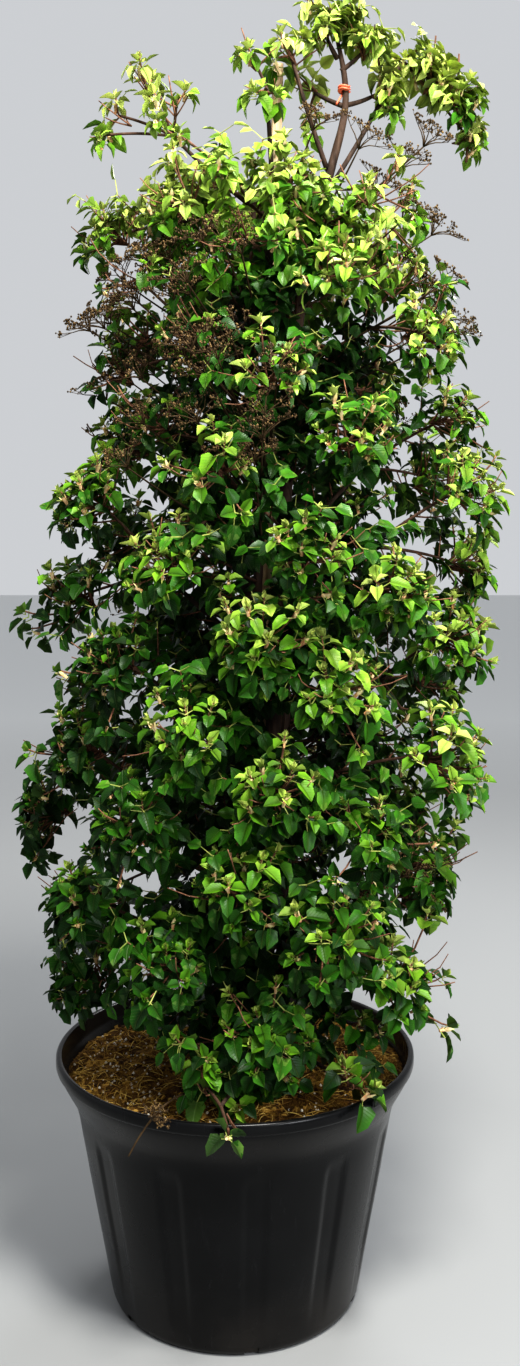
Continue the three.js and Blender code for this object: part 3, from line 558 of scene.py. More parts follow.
def strands(build, rings, radii, sides, slot=0, **values):
    """Many thin tubes at once. rings is (tubes, rings, 3) and radii is (tubes, rings)."""
    rings = np.asarray(rings, dtype=np.float64)
    if len(rings) == 0:
        return
    radii = np.asarray(radii, dtype=np.float64)
    tubes, steps, _ = rings.shape
    chord = unit(rings[:, -1] - rings[:, 0])
    helper = np.where(np.abs(chord[:, 2:3]) < 0.8, [[0.0, 0.0, 1.0]], [[1.0, 0.0, 0.0]])
    first = unit(np.cross(chord, helper))
    second = np.cross(chord, first)
    angles = np.arange(sides) * 2 * math.pi / sides
    spokes = np.cos(angles)[None, :, None] * first[:, None] + np.sin(angles)[None, :, None] * second[:, None]
    points = rings[:, :, None] + radii[:, :, None, None] * spokes[:, None]
    size = steps * sides
    triangles = repeated(tube_faces(steps, sides), size, tubes)
    spread = {
        name: np.broadcast_to(np.asarray(value, dtype=float), (tubes,)).repeat(size)
        for name, value in values.items()
    }
    build.add(points.reshape(-1, 3), triangles, slot, **spread)


def bend(start, control, end, steps):
    """Points along quadratic curves: each argument is (tubes, 3)."""
    t = np.linspace(0, 1, steps)[None, :, None]
    start, control, end = (np.asarray(p, dtype=float)[:, None] for p in (start, control, end))
    return (1 - t) ** 2 * start + 2 * t * (1 - t) * control + t**2 * end


def smooth_path(points, steps):
    """A smooth path of steps + 1 points through the given ones."""
    knots = np.array([tuple(p) for p in points], dtype=float)
    ends = np.vstack([2 * knots[0] - knots[1], knots, 2 * knots[-1] - knots[-2]])
    spans = len(knots) - 1
    path = []
    for share in np.linspace(0, spans, steps + 1):
        i = min(int(share), spans - 1)
        t = share - i
        a, b, c, d = ends[i : i + 4]
        path.append(
            0.5 * (2 * b + (c - a) * t + (2 * a - 5 * b + 4 * c - d) * t**2 + (3 * b - a - 3 * c + d) * t**3)
        )
    return np.array(path)


def tube(build, path, radii, sides, slot=0, **values):
    """One tube whose rings stay square to its path. radii is (rings,) or (rings, sides)."""
    path = np.asarray(path, dtype=float)
    tangents = unit(np.gradient(path, axis=0))
    helper = [0.0, 1.0, 0.05] if abs(tangents[0][1]) < 0.9 else [1.0, 0.0, 0.0]
    side = unit(np.cross(tangents[0], helper))
    angles = np.arange(sides) * 2 * math.pi / sides
    radii = np.broadcast_to(np.asarray(radii, dtype=float).reshape(len(path), -1), (len(path), sides))
    points = []
    for place, tangent, radius in zip(path, tangents, radii):
        side = unit(side - tangent * side.dot(tangent))
        up = np.cross(tangent, side)
        spokes = np.cos(angles)[:, None] * side + np.sin(angles)[:, None] * up
        points.append(place + radius[:, None] * spokes)
    build.add(np.array(points).reshape(-1, 3), tube_faces(len(path), sides), slot, **values)


# Leaf blade

# A tooth stands out and forward, the notch after it in: shares of the half width and the length
TOOTH_OUT = 1.1
NOTCH_IN = 0.95
TOOTH_FORWARD = 0.03
# The foot of the blade is drawn back beside its stalk by this much
HEART_DEPTH = 0.085
# The row between rib and edge: its share of the way to the edge, and how high it stands
MIDDLE_ROW = 0.52
MIDDLE_LIFT = 0.4
LEAF_THICKNESS = 0.0007


def leaf_template(stations):
    """A broad blade with a drawn-out point and a toothed edge. Points are (across, run, lift), in shares
    of the half width, the length and the thickness. The upper side has a row between rib and edge."""
    teeth = 2 * stations + 1
    last = stations + 1
    rib_runs = [(i / last) ** 1.1 for i in range(last + 1)]

    def edge(k):
        along = (k + 1) / (teeth + 1)
        turn = math.pi * along
        is_tooth = k % 2 == 1
        run = 0.5 - 0.5 * math.cos(turn) - HEART_DEPTH * math.exp(-(((turn - 0.5) / 0.36) ** 2))
        across = 1.14 * math.sin(turn) ** 0.8 * (1 - 0.92 * along**2)
        return across * (TOOTH_OUT if is_tooth else NOTCH_IN), run + (TOOTH_FORWARD if is_tooth else 0)

    points = [(0, run, 0.5 if 0 < i < last else 0) for i, run in enumerate(rib_runs)]
    lower_rib = len(points)
    points += [(0, run, -0.5) for run in rib_runs[1:-1]]
    rows = {}
    for sign in (-1, 1):
        rows[sign, "edge"] = len(points)
        points += [(sign * edge(k)[0], edge(k)[1], 0) for k in range(teeth)]
        rows[sign, "middle"] = len(points)
        for j in range(stations):
            across, run = edge(2 * j + 1)
            run = 0.45 * rib_runs[j + 1] + 0.55 * run
            points.append((sign * across * MIDDLE_ROW, run, MIDDLE_LIFT))
    triangles = []
    under = []

    def face(a, b, c, sign, is_under):
        triangles.append((a, b, c) if (sign > 0) != is_under else (a, c, b))
        under.append(1.0 if is_under else 0.0)

    for sign in (-1, 1):
        rim = rows[sign, "edge"]
        middle = rows[sign, "middle"]
        for is_under in (False, True):
            inner = lower_rib if is_under else middle
            face(0, rim, inner, sign, is_under)
            face(rim, rim + 1, inner, sign, is_under)
            for j in range(stations - 1):
                k = rim + 2 * j + 1
                face(inner + j, k, k + 1, sign, is_under)
                face(inner + j, k + 1, inner + j + 1, sign, is_under)
                face(inner + j + 1, k + 1, k + 2, sign, is_under)
            top = inner + stations - 1
            face(top, rim + teeth - 2, rim + teeth - 1, sign, is_under)
            face(top, rim + teeth - 1, last, sign, is_under)
        face(0, middle, 1, sign, False)
        for j in range(stations - 1):
            face(1 + j, middle + j, middle + j + 1, sign, False)
            face(1 + j, middle + j + 1, 2 + j, sign, False)
        face(stations, middle + stations - 1, last, sign, False)
    return np.array(points, dtype=float), np.array(triangles), np.array(under)


def simple_template():
    """A plainer blade, for the smallest leaves and for bud scales."""
    outline = [(0.0, 0.0), (0.7, 0.06), (1.0, 0.3), (0.6, 0.66)]
    outline += [(0.0, 1.0)] + [(-across, run) for across, run in reversed(outline[1:])]
    points = [(across, run, 0) for across, run in outline] + [(0, 0.4, 0.5), (0, 0.4, -0.5)]
    count = len(outline)
    triangles = [(i, (i + 1) % count, count) for i in range(count)]
    triangles += [((i + 1) % count, i, count + 1) for i in range(count)]
    under = [0.0] * count + [1.0] * count
    return np.array(points, dtype=float), np.array(triangles), np.array(under)


# Blades with more stations between foot and tip have more teeth
FINE_LEAF = leaf_template(2)
MIDDLE_LEAF = leaf_template(1)
PLAIN_LEAF = simple_template()


class Leaves:
    """A list of blades and stalks, drawn all at once."""

    def __init__(self):
        self.blades = []
        self.stalks = []

    def blade(self, origin, along, normal, length, width, fold, droop, age, tone, phase):
        self.blades.append((*origin, *along, *normal, length, width, fold, droop, age, tone, phase))

    def stalk(self, start, end, thick):
        self.stalks.append((*start, *end, thick))

    def draw(self, build, template, slot):
        if not self.blades:
            return
        points, triangles, under = template
        data = np.array(self.blades)
        origin = data[:, 0:3]
        along = unit(data[:, 3:6])
        facing = data[:, 6:9]
        normal = unit(facing - along * np.sum(facing * along, axis=1, keepdims=True))
        right = np.cross(along, normal)
        length, width, fold, droop, age, tone, phase = (data[:, i, None] for i in range(9, 16))
        across, run, lift = (points[None, :, i] for i in range(3))
        side = across * width / 2
        wave = 0.09 * np.sin(run * 11 + phase) * across**2 * width / 2
        curl = np.sin(phase * 3) * 0.12 * across * run * width / 2
        height = fold * np.abs(side) - droop * run**2 * length + wave + curl + lift * LEAF_THICKNESS
        reach = run * length - 0.4 * droop**2 * run**3 * length
        place = (
            origin[:, None]
            + side[..., None] * right[:, None]
            + reach[..., None] * along[:, None]
            + height[..., None] * normal[:, None]
        )
        size = len(points)
        count = len(data)
        build.add(
            place.reshape(-1, 3),
            repeated(triangles, size, count),
            slot,
            age=age[:, 0].repeat(size),
            tone=tone[:, 0].repeat(size),
            across=np.tile(points[:, 0], count),
            run=np.tile(points[:, 1], count),
            under=np.tile(under, count),
        )

    def draw_stalks(self, build, slot):
        if not self.stalks:
            return
        data = np.array(self.stalks)
        rings = np.stack([data[:, 0:3], data[:, 3:6]], axis=1)
        strands(build, rings, data[:, 6:7] * np.array([[1.2, 0.85]]), 3, slot)


# Reading the frame

def densest(points, reach):
    """The middle of the tightest group of points."""
    near = np.linalg.norm(points[:, None] - points[None], axis=2) < reach
    return points[near[near.sum(axis=1).argmax()]].mean(axis=0)


def ring_centres(node):
    """Middles and radii of a stem's rings, from its foot up."""
    points, _ = welded(node)
    points = points[points[:, 2].argsort()]
    splits = np.nonzero(np.diff(points[:, 2]) > RING_GAP)[0] + 1
    rings = np.split(points, splits)
    middles = np.array([ring.mean(axis=0) for ring in rings])
    radii = np.array([np.linalg.norm(ring - ring.mean(axis=0), axis=1).max() for ring in rings])
    return middles, radii


def welded(node):
    """A node's corners, each once, and its triangles."""
    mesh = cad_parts[node].data
    mesh.calc_loop_triangles()
    places = np.zeros(len(mesh.vertices) * 3, dtype=np.float32)
    mesh.vertices.foreach_get("co", places)
    corners = np.zeros(len(mesh.loop_triangles) * 3, dtype=np.int32)
    mesh.loop_triangles.foreach_get("vertices", corners)
    points, names = np.unique(places.reshape(-1, 3).round(5), axis=0, return_inverse=True)
    return points.astype(float), names.ravel()[corners].reshape(-1, 3)


def blade_rims(points, triangles):
    """A blade of the frame has two middle corners, a thickness apart: the corners round each pair. A pair
    at a stem's surface is the limb's own foot, and is left out."""
    around = [set() for _ in points]
    for triangle in triangles:
        for corner in triangle:
            around[corner].update(triangle)
    apart = np.linalg.norm(points[:, None] - points[None], axis=2)
    first, second = np.nonzero(np.triu(apart < BLADE_THICKNESS, 1))
    pairs = [(i, j) for i, j in zip(first, second) if min(len(around[i]), len(around[j])) > RIM_LEAST]
    rims = [(i, (around[i] | around[j]) - {i, j}) for i, j in pairs]
    return [(i, rim) for i, rim in rims if from_stem(points[i]) > 2 * BLADE_THICKNESS]


def from_stem(point):
    """How far a point is from the nearest stem's surface."""
    return stem_tree.find_nearest(Vector(point))[3]


def branch_skeleton(node):
    """Where a leafy branch leaves its stem, where it forks, and its clusters: (core, axis, size)."""
    points, triangles = welded(node)
    rims = blade_rims(points, triangles)
    uses = np.zeros(len(points), dtype=int)
    for _, rim in rims:
        uses[list(rim)] += 1
    groups = []
    for middle, rim in rims:
        core = {corner for corner in rim if uses[corner] > 1}
        joined = [group for group in groups if group[0] & core]
        for group in joined:
            groups.remove(group)
            core |= group[0]
        groups.append((core, sum((group[1] for group in joined), [middle])))
    clusters = []
    for core, middles in groups:
        if len(core) < 3:
            continue
        centre = points[list(core)].mean(axis=0)
        size = np.linalg.norm(points[list(core)] - centre, axis=1).mean() / CORE_REACH
        axis = unit(points[middles].mean(axis=0) - centre)
        clusters.append((Vector(centre), Vector(axis), float(size)))
    taken = {corner for _, rim in rims for corner in rim} | {middle for middle, _ in rims}
    wood = points[[i for i in range(len(points)) if i not in taken]]
    root = min(wood, key=from_stem)
    away = wood[np.linalg.norm(wood - root, axis=1) > FOOT_REACH]
    fork = densest(away, FORK_REACH) if len(away) else root
    return Vector(root), Vector(fork), clusters


def tree_of(nodes):
    """A search tree over the faces of several nodes."""
    places = []
    faces = []
    for node in nodes:
        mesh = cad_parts[node].data
        start = len(places)
        places += [vertex.co.copy() for vertex in mesh.vertices]
        faces += [[start + i for i in polygon.vertices] for polygon in mesh.polygons]
    return BVHTree.FromPolygons(places, faces)


def nodes_named(*starts):
    return sorted(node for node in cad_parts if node.startswith(starts))


stem_nodes = nodes_named("stem_")
branch_nodes = nodes_named("bough_", "top_shoot_", "rim_shoot_")
head_nodes = nodes_named("dried_flower_head_")
stem_tree = tree_of(stem_nodes)
stake_low, stake_high = (Vector(corner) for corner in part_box("stake"))
stake_width = stake_high.y - stake_low.y
plant_low, plant_high = (Vector(corner) for corner in cad_box)


def trunk_at(height):
    """The middle of the plant at a height: the stake's own line."""
    share = (height - stake_low.z) / (stake_high.z - stake_low.z)
    half = 0.5 * stake_width
    x = (stake_low.x + half) * (1 - share) + (stake_high.x - half) * share
    return Vector((x, (stake_low.y + stake_high.y) / 2, height))


def outward_at(place):
    """The level direction away from the plant's middle."""
    away = place - trunk_at(place.z)
    away.z = 0
    return away.normalized() if away.length > 1e-4 else Vector((0, -1, 0))


def level_at(angle):
    """The level direction at an angle round the plant, which is 0 at the front."""
    return Vector((math.sin(angle), -math.cos(angle), 0))


def any_square_to(direction):
    """A direction square to the given one."""
    other = UP if abs(direction.z) < 0.9 else Vector((1, 0, 0))
    return direction.cross(other).normalized()


# Foliage

def up_share(height):
    """0 at the foot of the foliage, 1 at its top."""
    return clamped((height - FOLIAGE_FOOT) / (FOLIAGE_TOP - FOLIAGE_FOOT))


def crown_share(height):
    """0 below the plant's crown of young growth, 1 within it."""
    return smoothstep(*CROWN_HEIGHTS, height)


def leaf_length_at(height):
    return LEAF_AT_FOOT + (LEAF_AT_TOP - LEAF_AT_FOOT) * up_share(height)


def on_bend(start, control, end, share):
    """A point on a quadratic curve, and the curve's direction there."""
    place = start * (1 - share) ** 2 + control * 2 * share * (1 - share) + end * share**2
    return place, ((control - start) * (1 - share) + (end - control) * share).normalized()


class Foliage:
    """Wood, blades, leaf stalks and bud scales of one leafy piece of the plant."""

    def __init__(self, name, seed):
        self.name = name
        self.draws = random.Random(seed)
        self.fine = Leaves()
        self.middle = Leaves()
        self.plain = Leaves()
        self.scales = Leaves()
        self.limbs = []
        self.twigs = []
        self.bare_twigs = []
        self.sheaths = []

    def vary(self, low, high):
        return self.draws.uniform(low, high)

    def leaf(self, kind, node, lean, reach, facing, length, fold, droop, age):
        """A blade at the end of its stalk. lean is where the stalk and then the blade point."""
        # Painted shade: leaves near the plant's middle are aged darker, as well as being older
        inward_shade = smoothstep(*INNER_REACHES, (node - trunk_at(node.z)).xy.length)
        age += 0.5 * inward_shade * smoothstep(*INNER_HEIGHTS, node.z)
        base = node + lean * reach + UP * reach * 0.15
        along = (lean - UP * droop * self.vary(0.5, 1.4)).normalized()
        if reach > STALK_LEAST:
            kind.stalk(node, base, 0.0008 + length * 0.008)
        width = length * (YOUNG_WIDTH + (OLD_WIDTH - YOUNG_WIDTH) * clamped(age)) * self.vary(0.85, 1.1)
        hang = droop * self.vary(0.3, 0.9)
        own_age = clamped(age + self.vary(-0.07, 0.07))
        tone = self.draws.random()
        kind.blade(base, along, facing, length, width, fold, hang, own_age, tone, self.vary(0, ANY_ANGLE))

    def kind_for(self, size):
        if size > FINE_OVER:
            return self.fine
        return self.middle if size > MIDDLE_OVER else self.plain

    def rosette(self, tip, axis, scale, age):
        """Pairs of leaves set crosswise round the end of a shoot, the youngest at its tip."""
        leaf_length = leaf_length_at(tip.z)
        in_crown = self.draws.random() < crown_share(tip.z)
        pairs = CROWN_PAIRS if in_crown else LEAF_PAIRS
        spacing = CROWN_SPACING if in_crown else PAIR_SPACING
        turn = self.vary(0, math.pi)
        first = any_square_to(axis)
        for order, (pitch, size, own_age, stalk, droop) in enumerate(pairs):
            node = tip - axis * spacing * order * scale
            kind = self.kind_for(size)
            for half in (0, math.pi):
                angle = turn + order * math.pi / 2 + half + self.vary(-0.35, 0.35)
                radial = Quaternion(axis, angle) @ first
                tilt = pitch + self.vary(-0.28, 0.28)
                lean = axis * math.cos(tilt) + radial * math.sin(tilt)
                facing = axis * 0.8 + UP * 0.5 + outward_at(node) * 0.3
                reach = stalk * scale * self.vary(0.7, 1.5)
                length = leaf_length * size * scale * self.vary(0.78, 1.18)
                fold = self.vary(0.35, 0.8) + 0.4 * (1 - size)
                self.leaf(kind, node, lean, reach, facing, length, fold, droop, age + own_age)
        if self.draws.random() < 0.35 + 0.5 * up_share(tip.z):
            self.sheath(tip, axis, first, scale)

    def sheath(self, tip, axis, first, scale):
        """The swollen cream foot of a young rosette, with a few scales that peel from it."""
        top = tip - axis * PAIR_SPACING * 2.2 * scale
        foot = top - axis * self.vary(0.010, 0.017) * scale
        radii = (radius * scale for radius in SHEATH_RADII)
        self.sheaths.append((foot, foot.lerp(top, 0.5), top, *radii, YOUTH["limb"]))
        for i in range(2):
            radial = Quaternion(axis, self.vary(0, 1.2) + i * math.pi) @ first
            along = (axis + radial * self.vary(0.3, 0.7)).normalized()
            length = self.vary(0.011, 0.019) * scale
            start = top.lerp(foot, self.vary(0.2, 0.8)) + radial * 0.0026 * scale
            facing = axis * 0.3 - radial
            self.scales.blade(start, along, facing, length, length * 0.5, 0.5, -0.15, 0, 0, i)

    def shoot(self, start, tip, radius, scale, age, is_bare=False):
        """A side shoot that curves up towards its rosette, often with a few older leaves along it."""
        reach = (tip - start).length
        control = start.lerp(tip, 0.6) + outward_at(tip) * 0.1 * reach - UP * 0.16 * reach
        axis = ((tip - control).normalized() + UP * (0.3 + 0.9 * crown_share(tip.z))).normalized()
        self.twigs.append((start, control, tip, radius, radius * 0.75, YOUTH["shoot"]))
        self.rosette(tip, axis, scale, age)
        if reach > LEAFY_REACH and not is_bare:
            older = age + 0.6 - 0.35 * crown_share(tip.z)
            self.leaves_along(start, control, tip, SHOOT_LEAVES, older, scale)

    def leaves_along(self, start, control, end, shares, age, scale, kind=None, reaches=(0.012, 0.028)):
        """Opposite pairs of older leaves on a curved twig, each pair square to the one before."""
        for order, share in enumerate(shares):
            node, axis = on_bend(start, control, end, share)
            first = any_square_to(axis)
            turn = self.vary(0, math.pi)
            for half in (0, math.pi):
                radial = Quaternion(axis, turn + order * math.pi / 2 + half) @ first
                level = radial - UP * 0.5 * max(0.0, radial.z)
                lean = (axis * 0.35 + level + outward_at(node) * 0.35).normalized()
                facing = UP * 0.7 + outward_at(node) * 0.7
                length = leaf_length_at(node.z) * scale * self.vary(0.85, 1.2)
                reach = self.vary(*reaches)
                fold = self.vary(0.1, 0.4)
                droop = self.vary(0.2, 0.8)
                self.leaf(kind or self.plain, node, lean, reach, facing, length, fold, droop, age)

    def cluster(self, centre, size, axis, age, density, larger):
        """The bunch of shoots that fills the place of one cluster of the frame."""
        left = thinning(centre)
        count = max(1, round(SHOOTS * size**SHOOT_POWER * left * density))
        # Painted shade: thin patches at the left, under the leaf mass above, get darker leaves
        age += 0.4 * (1 - left) * smoothstep(0.1, -0.1, centre.x)
        first = any_square_to(axis)
        turn = self.vary(0, ANY_ANGLE)
        scale = 0.62 + 0.4 * min(1.0, size)
        for i in range(count):
            polar = math.acos(1 - SHOOT_SPREAD * (i + 0.5) / count) if count > 1 else 0.0
            radial = Quaternion(axis, turn + i * GOLDEN_ANGLE) @ first
            lean = axis * math.cos(polar) + radial * math.sin(polar)
            reach = SHOOT_FORWARD + (SHOOT_SIDEWAYS - SHOOT_FORWARD) * math.sin(polar)
            is_long = self.draws.random() < LONG_SHOOTS
            longer = self.vary(*LONG_REACHES) if is_long else 1.0
            tip = kept_inside(centre + lean * reach * size * self.vary(0.62, 1.12) * longer)
            start = centre - axis * self.vary(0.0, 0.04) * size
            own_age = age + self.vary(-0.10, 0.12) - 0.10 * lean.z + 0.28 * smoothstep(0.1, -0.4, lean.z)
            own_scale = scale * larger * self.vary(0.8, 1.15)
            self.shoot(start, tip, SHOOT_RADIUS, own_scale, own_age, is_long)
        for _ in range(round(BARE_TWIGS * size)):
            self.bare_twig(centre, axis, size)

    def bare_twig(self, centre, axis, size):
        """An old twig that lost its leaves and shows among the others."""
        aside = Vector((self.vary(-1, 1), self.vary(-1, 1), self.vary(-0.4, 0.5)))
        tip = kept_inside(centre + (axis * 0.5 + aside).normalized() * self.vary(0.06, 0.125) * size)
        bow = Vector((self.vary(-1, 1), self.vary(-1, 1), -1.2)) * self.vary(0.01, 0.03) * size
        control = centre.lerp(tip, 0.6) + bow
        foot = centre - axis * 0.03
        self.bare_twigs.append((foot, control, tip, *BARE_TWIG_RADII, self.vary(0.5, 1.0)))

    def stub(self, centre):
        """A straight twig without leaves that stands up among the topmost shoots."""
        foot = centre - UP * self.vary(0.03, 0.05)
        tip = centre + Vector((self.vary(-0.01, 0.01), self.vary(-0.01, 0.01), self.vary(0.07, 0.10)))
        self.bare_twigs.append((foot, foot.lerp(tip, 0.5), tip, *STUB_RADII, YOUTH["stub"]))

    def side_shoots(self, start, control, end, count, age, reaches=(0.05, 0.12)):
        """Short leafy shoots along a limb, which fill the inside of the plant."""
        age -= 0.62 * crown_share(end.z)
        for i in range(count):
            share = (i + self.vary(0.2, 0.8)) / count
            node, axis = on_bend(start, control, end, share)
            radial = Quaternion(axis, self.vary(0, ANY_ANGLE)) @ any_square_to(axis)
            lean = (radial + axis * 0.4 + UP * 0.35 + outward_at(node) * 0.3).normalized()
            tip = kept_inside(node + lean * self.vary(*reaches))
            bent = node.lerp(tip, 0.6) - UP * 0.01
            self.twigs.append((node, bent, tip, *SIDE_SHOOT_RADII, YOUTH["side_shoot"]))
            self.leaves_along(node, bent, tip, SIDE_SHOOT_LEAVES, age, 1.05, reaches=(0.0, 0.004))
            self.leaves_along(node, bent, tip, LAST_LEAVES, age - 0.12, 1.0, self.middle)

    def age_and_shade_at(self, place):
        """Leaves are youngest at the top of the plant and oldest at its foot; at its lower left they are
        darkened with painted shade.
        """
        # Painted shade: darker leaves low down on the left
        shade = 0.2 * smoothstep(1.8, 1.45, place.z) + 0.2 * smoothstep(1.36, 1.16, place.z)
        shade *= smoothstep(-0.05, -0.25, place.x)
        own = self.vary(-0.14, 0.10) + shade
        return 0.52 - 0.38 * up_share(place.z) ** 1.4 - 0.14 * crown_share(place.z) + own

    def wood_of(self, build, rows, sides, steps, slot=0):
        """Tubes along bends, for rows of (start, control, end, two radii, youth)."""
        if not rows:
            return
        rings = bend(*[np.array([tuple(row[i]) for row in rows]) for i in range(3)], steps)
        fade = np.linspace(0, 1, steps)[None]
        start_radius, end_radius = (np.array([row[i] for row in rows])[:, None] for i in (3, 4))
        radii = start_radius * (1 - fade) + end_radius * fade
        youth = np.array([row[5] for row in rows])
        strands(build, rings, radii, sides, slot, youth=youth)

    def pieces(self, *nodes):
        """One piece of wood and one of leaves, which stand for the nodes together."""
        wood = Build(("youth",))
        self.wood_of(wood, self.limbs, 8, 9)
        self.wood_of(wood, self.twigs, 4, 5)
        self.wood_of(wood, self.bare_twigs, 3, 5)
        wood.piece(self.name + "_wood", ["bark"], "bark", *nodes)

        leafy = Build(("age", "tone", "across", "run"), ("under",))
        self.fine.draw(leafy, FINE_LEAF, 0)
        self.middle.draw(leafy, MIDDLE_LEAF, 0)
        self.plain.draw(leafy, PLAIN_LEAF, 0)
        for leaves in (self.fine, self.middle, self.plain):
            leaves.draw_stalks(leafy, 1)
        self.scales.draw(leafy, PLAIN_LEAF, 2)
        self.wood_of(leafy, self.sheaths, 5, 3, 2)
        finishes = ["leaf", "stalk", "scale"]
        leafy.piece(self.name + "_leaves", finishes, "foliage", *nodes, crease=50)


def kept_inside(place):
    """The place, moved in where leaves on it would reach outside the frame's own box."""
    for i in range(3):
        place[i] = max(place[i], plant_low[i] + SHOOT_MARGIN)
        place[i] = min(place[i], plant_high[i] - SHOOT_MARGIN)
    return place


# Where the dried heads show, leaves are sparse: height, half height, angle, half angle, share left
THIN_PATCHES = [
    (1.83, 0.15, -48, 40, 0.22),
    (1.63, 0.13, -28, 38, 0.5),
    (1.98, 0.14, 75, 40, 0.35),
    (0.93, 0.13, 80, 34, 0.55),
]


def thinning(place):
    """The share of shoots left at a place."""
    away = outward_at(place)
    angle = math.degrees(math.atan2(away.x, -away.y))
    for height, half_height, middle, half_angle, left in THIN_PATCHES:
        if abs(place.z - height) < half_height and abs(angle - middle) < half_angle:
            return left
    return 1.0


def bough_density(place):
    """Boughs at the lower left have more shoots."""
    return 1 + 0.32 * smoothstep(-0.10, -0.22, place.x) * smoothstep(1.7, 1.4, place.z)


def slim_density(place):
    """Top and rim shoots have fewer shoots of their own, but for the right of the crown."""
    return 0.55 + 0.95 * smoothstep(0.1, 0.3, place.x) * crown_share(place.z)


# Leaves on the top and rim shoots are larger by this
SLIM_LEAVES_LARGER = 1.38
# Top shoots to the right of this bear side shoots and stubs
CROWN_RIGHT = 0.15


def branch(node, seed, skeleton):
    """A leafy node of the frame: its limb, one twig for each cluster, and the clusters."""
    root, fork, clusters = skeleton
    foliage = Foliage(node, seed)
    away = fork - root
    is_spread = node.startswith("bough_")
    middle = root.lerp(fork, 0.5) - UP * 0.06 * away.length
    thick = BOUGH_RADIUS if is_spread else SLIM_BRANCH_RADIUS
    foot = root - away.normalized() * 0.006
    foliage.limbs.append((foot, middle, fork, thick, thick * 0.7, YOUTH["limb"]))
    if is_spread:
        foliage.side_shoots(root, middle, fork, count=7, age=0.85)
    for centre, axis, size in clusters:
        control = fork.lerp(centre, 0.5) + UP * 0.07 * (centre - fork).length
        limb = (fork, control, centre, thick * 0.6, CLUSTER_END_RADIUS, YOUTH["cluster"])
        foliage.limbs.append(limb)
        if is_spread:
            count = round(2.5 + 2.5 * thinning(centre))
            foliage.side_shoots(fork, control, centre, count, age=0.8)
        elif centre.x > CROWN_RIGHT and node.startswith("top_shoot_"):
            foliage.side_shoots(fork, control, centre, count=4, age=0.7, reaches=(0.03, 0.07))
            if centre.z < STUB_HIGHEST:
                foliage.stub(centre)
        density = bough_density(centre) if is_spread else slim_density(centre)
        larger = 1.0 if is_spread else SLIM_LEAVES_LARGER
        foliage.cluster(centre, size, axis, foliage.age_and_shade_at(centre), density, larger)
    foliage.pieces(node)


def stem_shoots(name, seed, low, high, count, reaches, angles):
    """Leafy shoots straight from the stems, which hide them from outside."""
    foliage = Foliage(name, seed)
    for i in range(count):
        height = low + (high - low) * (i + foliage.vary(0.1, 0.9)) / count
        direction = level_at(math.radians(foliage.vary(*angles)))
        middle = trunk_at(height)
        start = stem_tree.find_nearest(middle + direction * 0.12)[0]
        tip = middle + direction * foliage.vary(*reaches) + UP * foliage.vary(0.0, 0.08)
        control = start.lerp(tip, 0.5) + UP * 0.02
        foliage.limbs.append((start, control, tip, *STEM_SHOOT_RADII, YOUTH["stem_shoot"]))
        foliage.side_shoots(start, control, tip, count=3, age=0.9)
        for _ in range(2):
            spread = direction * 0.03 + UP * foliage.vary(-0.02, 0.05)
            spread += Vector((foliage.vary(-0.04, 0.04), foliage.vary(-0.04, 0.04), 0))
            age = foliage.vary(0.4, 0.75) - 0.5 * crown_share(tip.z)
            foliage.shoot(tip, tip + spread, SLIM_SHOOT_RADIUS, 0.95, age)
    foliage.pieces()


def leader_tip():
    """The rosettes that the leader's own end bears."""
    foliage = Foliage("leader_tip", SEEDS["leader"])
    middles, _ = ring_centres("stem_1")
    top = Vector(middles[-1])
    axis = (top - Vector(middles[-2])).normalized()
    youngest = 0.02
    foliage.rosette(top + axis * 0.004, axis, 1.0, youngest)
    for side in (-1, 1):
        bud = top - axis * 0.02 + Vector((side * 0.028, -0.01, 0.012))
        foliage.shoot(top - axis * 0.03, bud, SLIM_SHOOT_RADIUS, 0.8, youngest)
    foliage.pieces()


# Stems, stake and tie

STEM_STEP = 0.012
STEM_SIDES = 14
# Where the noise that shapes the bark is read: how fine round the stem and along it, and from what height
BARK_ROUND = 2.2
BARK_ALONG = 14
BARK_START = 6
# A stem thins between these heights, and again over the last steps to its tip
THINNING_HEIGHTS = (1.7, 2.2)
TIP_STEPS = 6


def main_stem(node):
    """A woody stem whose bark stands in uneven strips."""
    middles, radii = ring_centres(node)
    steps = int(np.linalg.norm(np.diff(middles, axis=0), axis=1).sum() / STEM_STEP)
    path = smooth_path(middles, steps)
    along = np.linspace(0, len(middles) - 1, steps + 1)
    path_radii = np.interp(along, np.arange(len(radii)), radii)
    rows = []
    for order, (place, radius) in enumerate(zip(path, path_radii)):
        slim = 0.96 - 0.18 * smoothstep(*THINNING_HEIGHTS, place[2])
        slim -= 0.5 * smoothstep(steps - TIP_STEPS, steps, order)
        row = []
        for i in range(STEM_SIDES):
            angle = 2 * math.pi * i / STEM_SIDES
            height = place[2] * BARK_ALONG + BARK_START
            spot = Vector((math.cos(angle) * BARK_ROUND, math.sin(angle) * BARK_ROUND, height))
            strip = noise.noise(spot) * 0.11 + noise.noise(spot * 3.1) * 0.06
            row.append(radius * (slim + strip))
        rows.append(row)
    build = Build(("youth",))
    tube(build, path, np.array(rows), STEM_SIDES, youth=YOUTH["limb"])
    build.piece(node + "_bark", ["bark"], "bark", node)


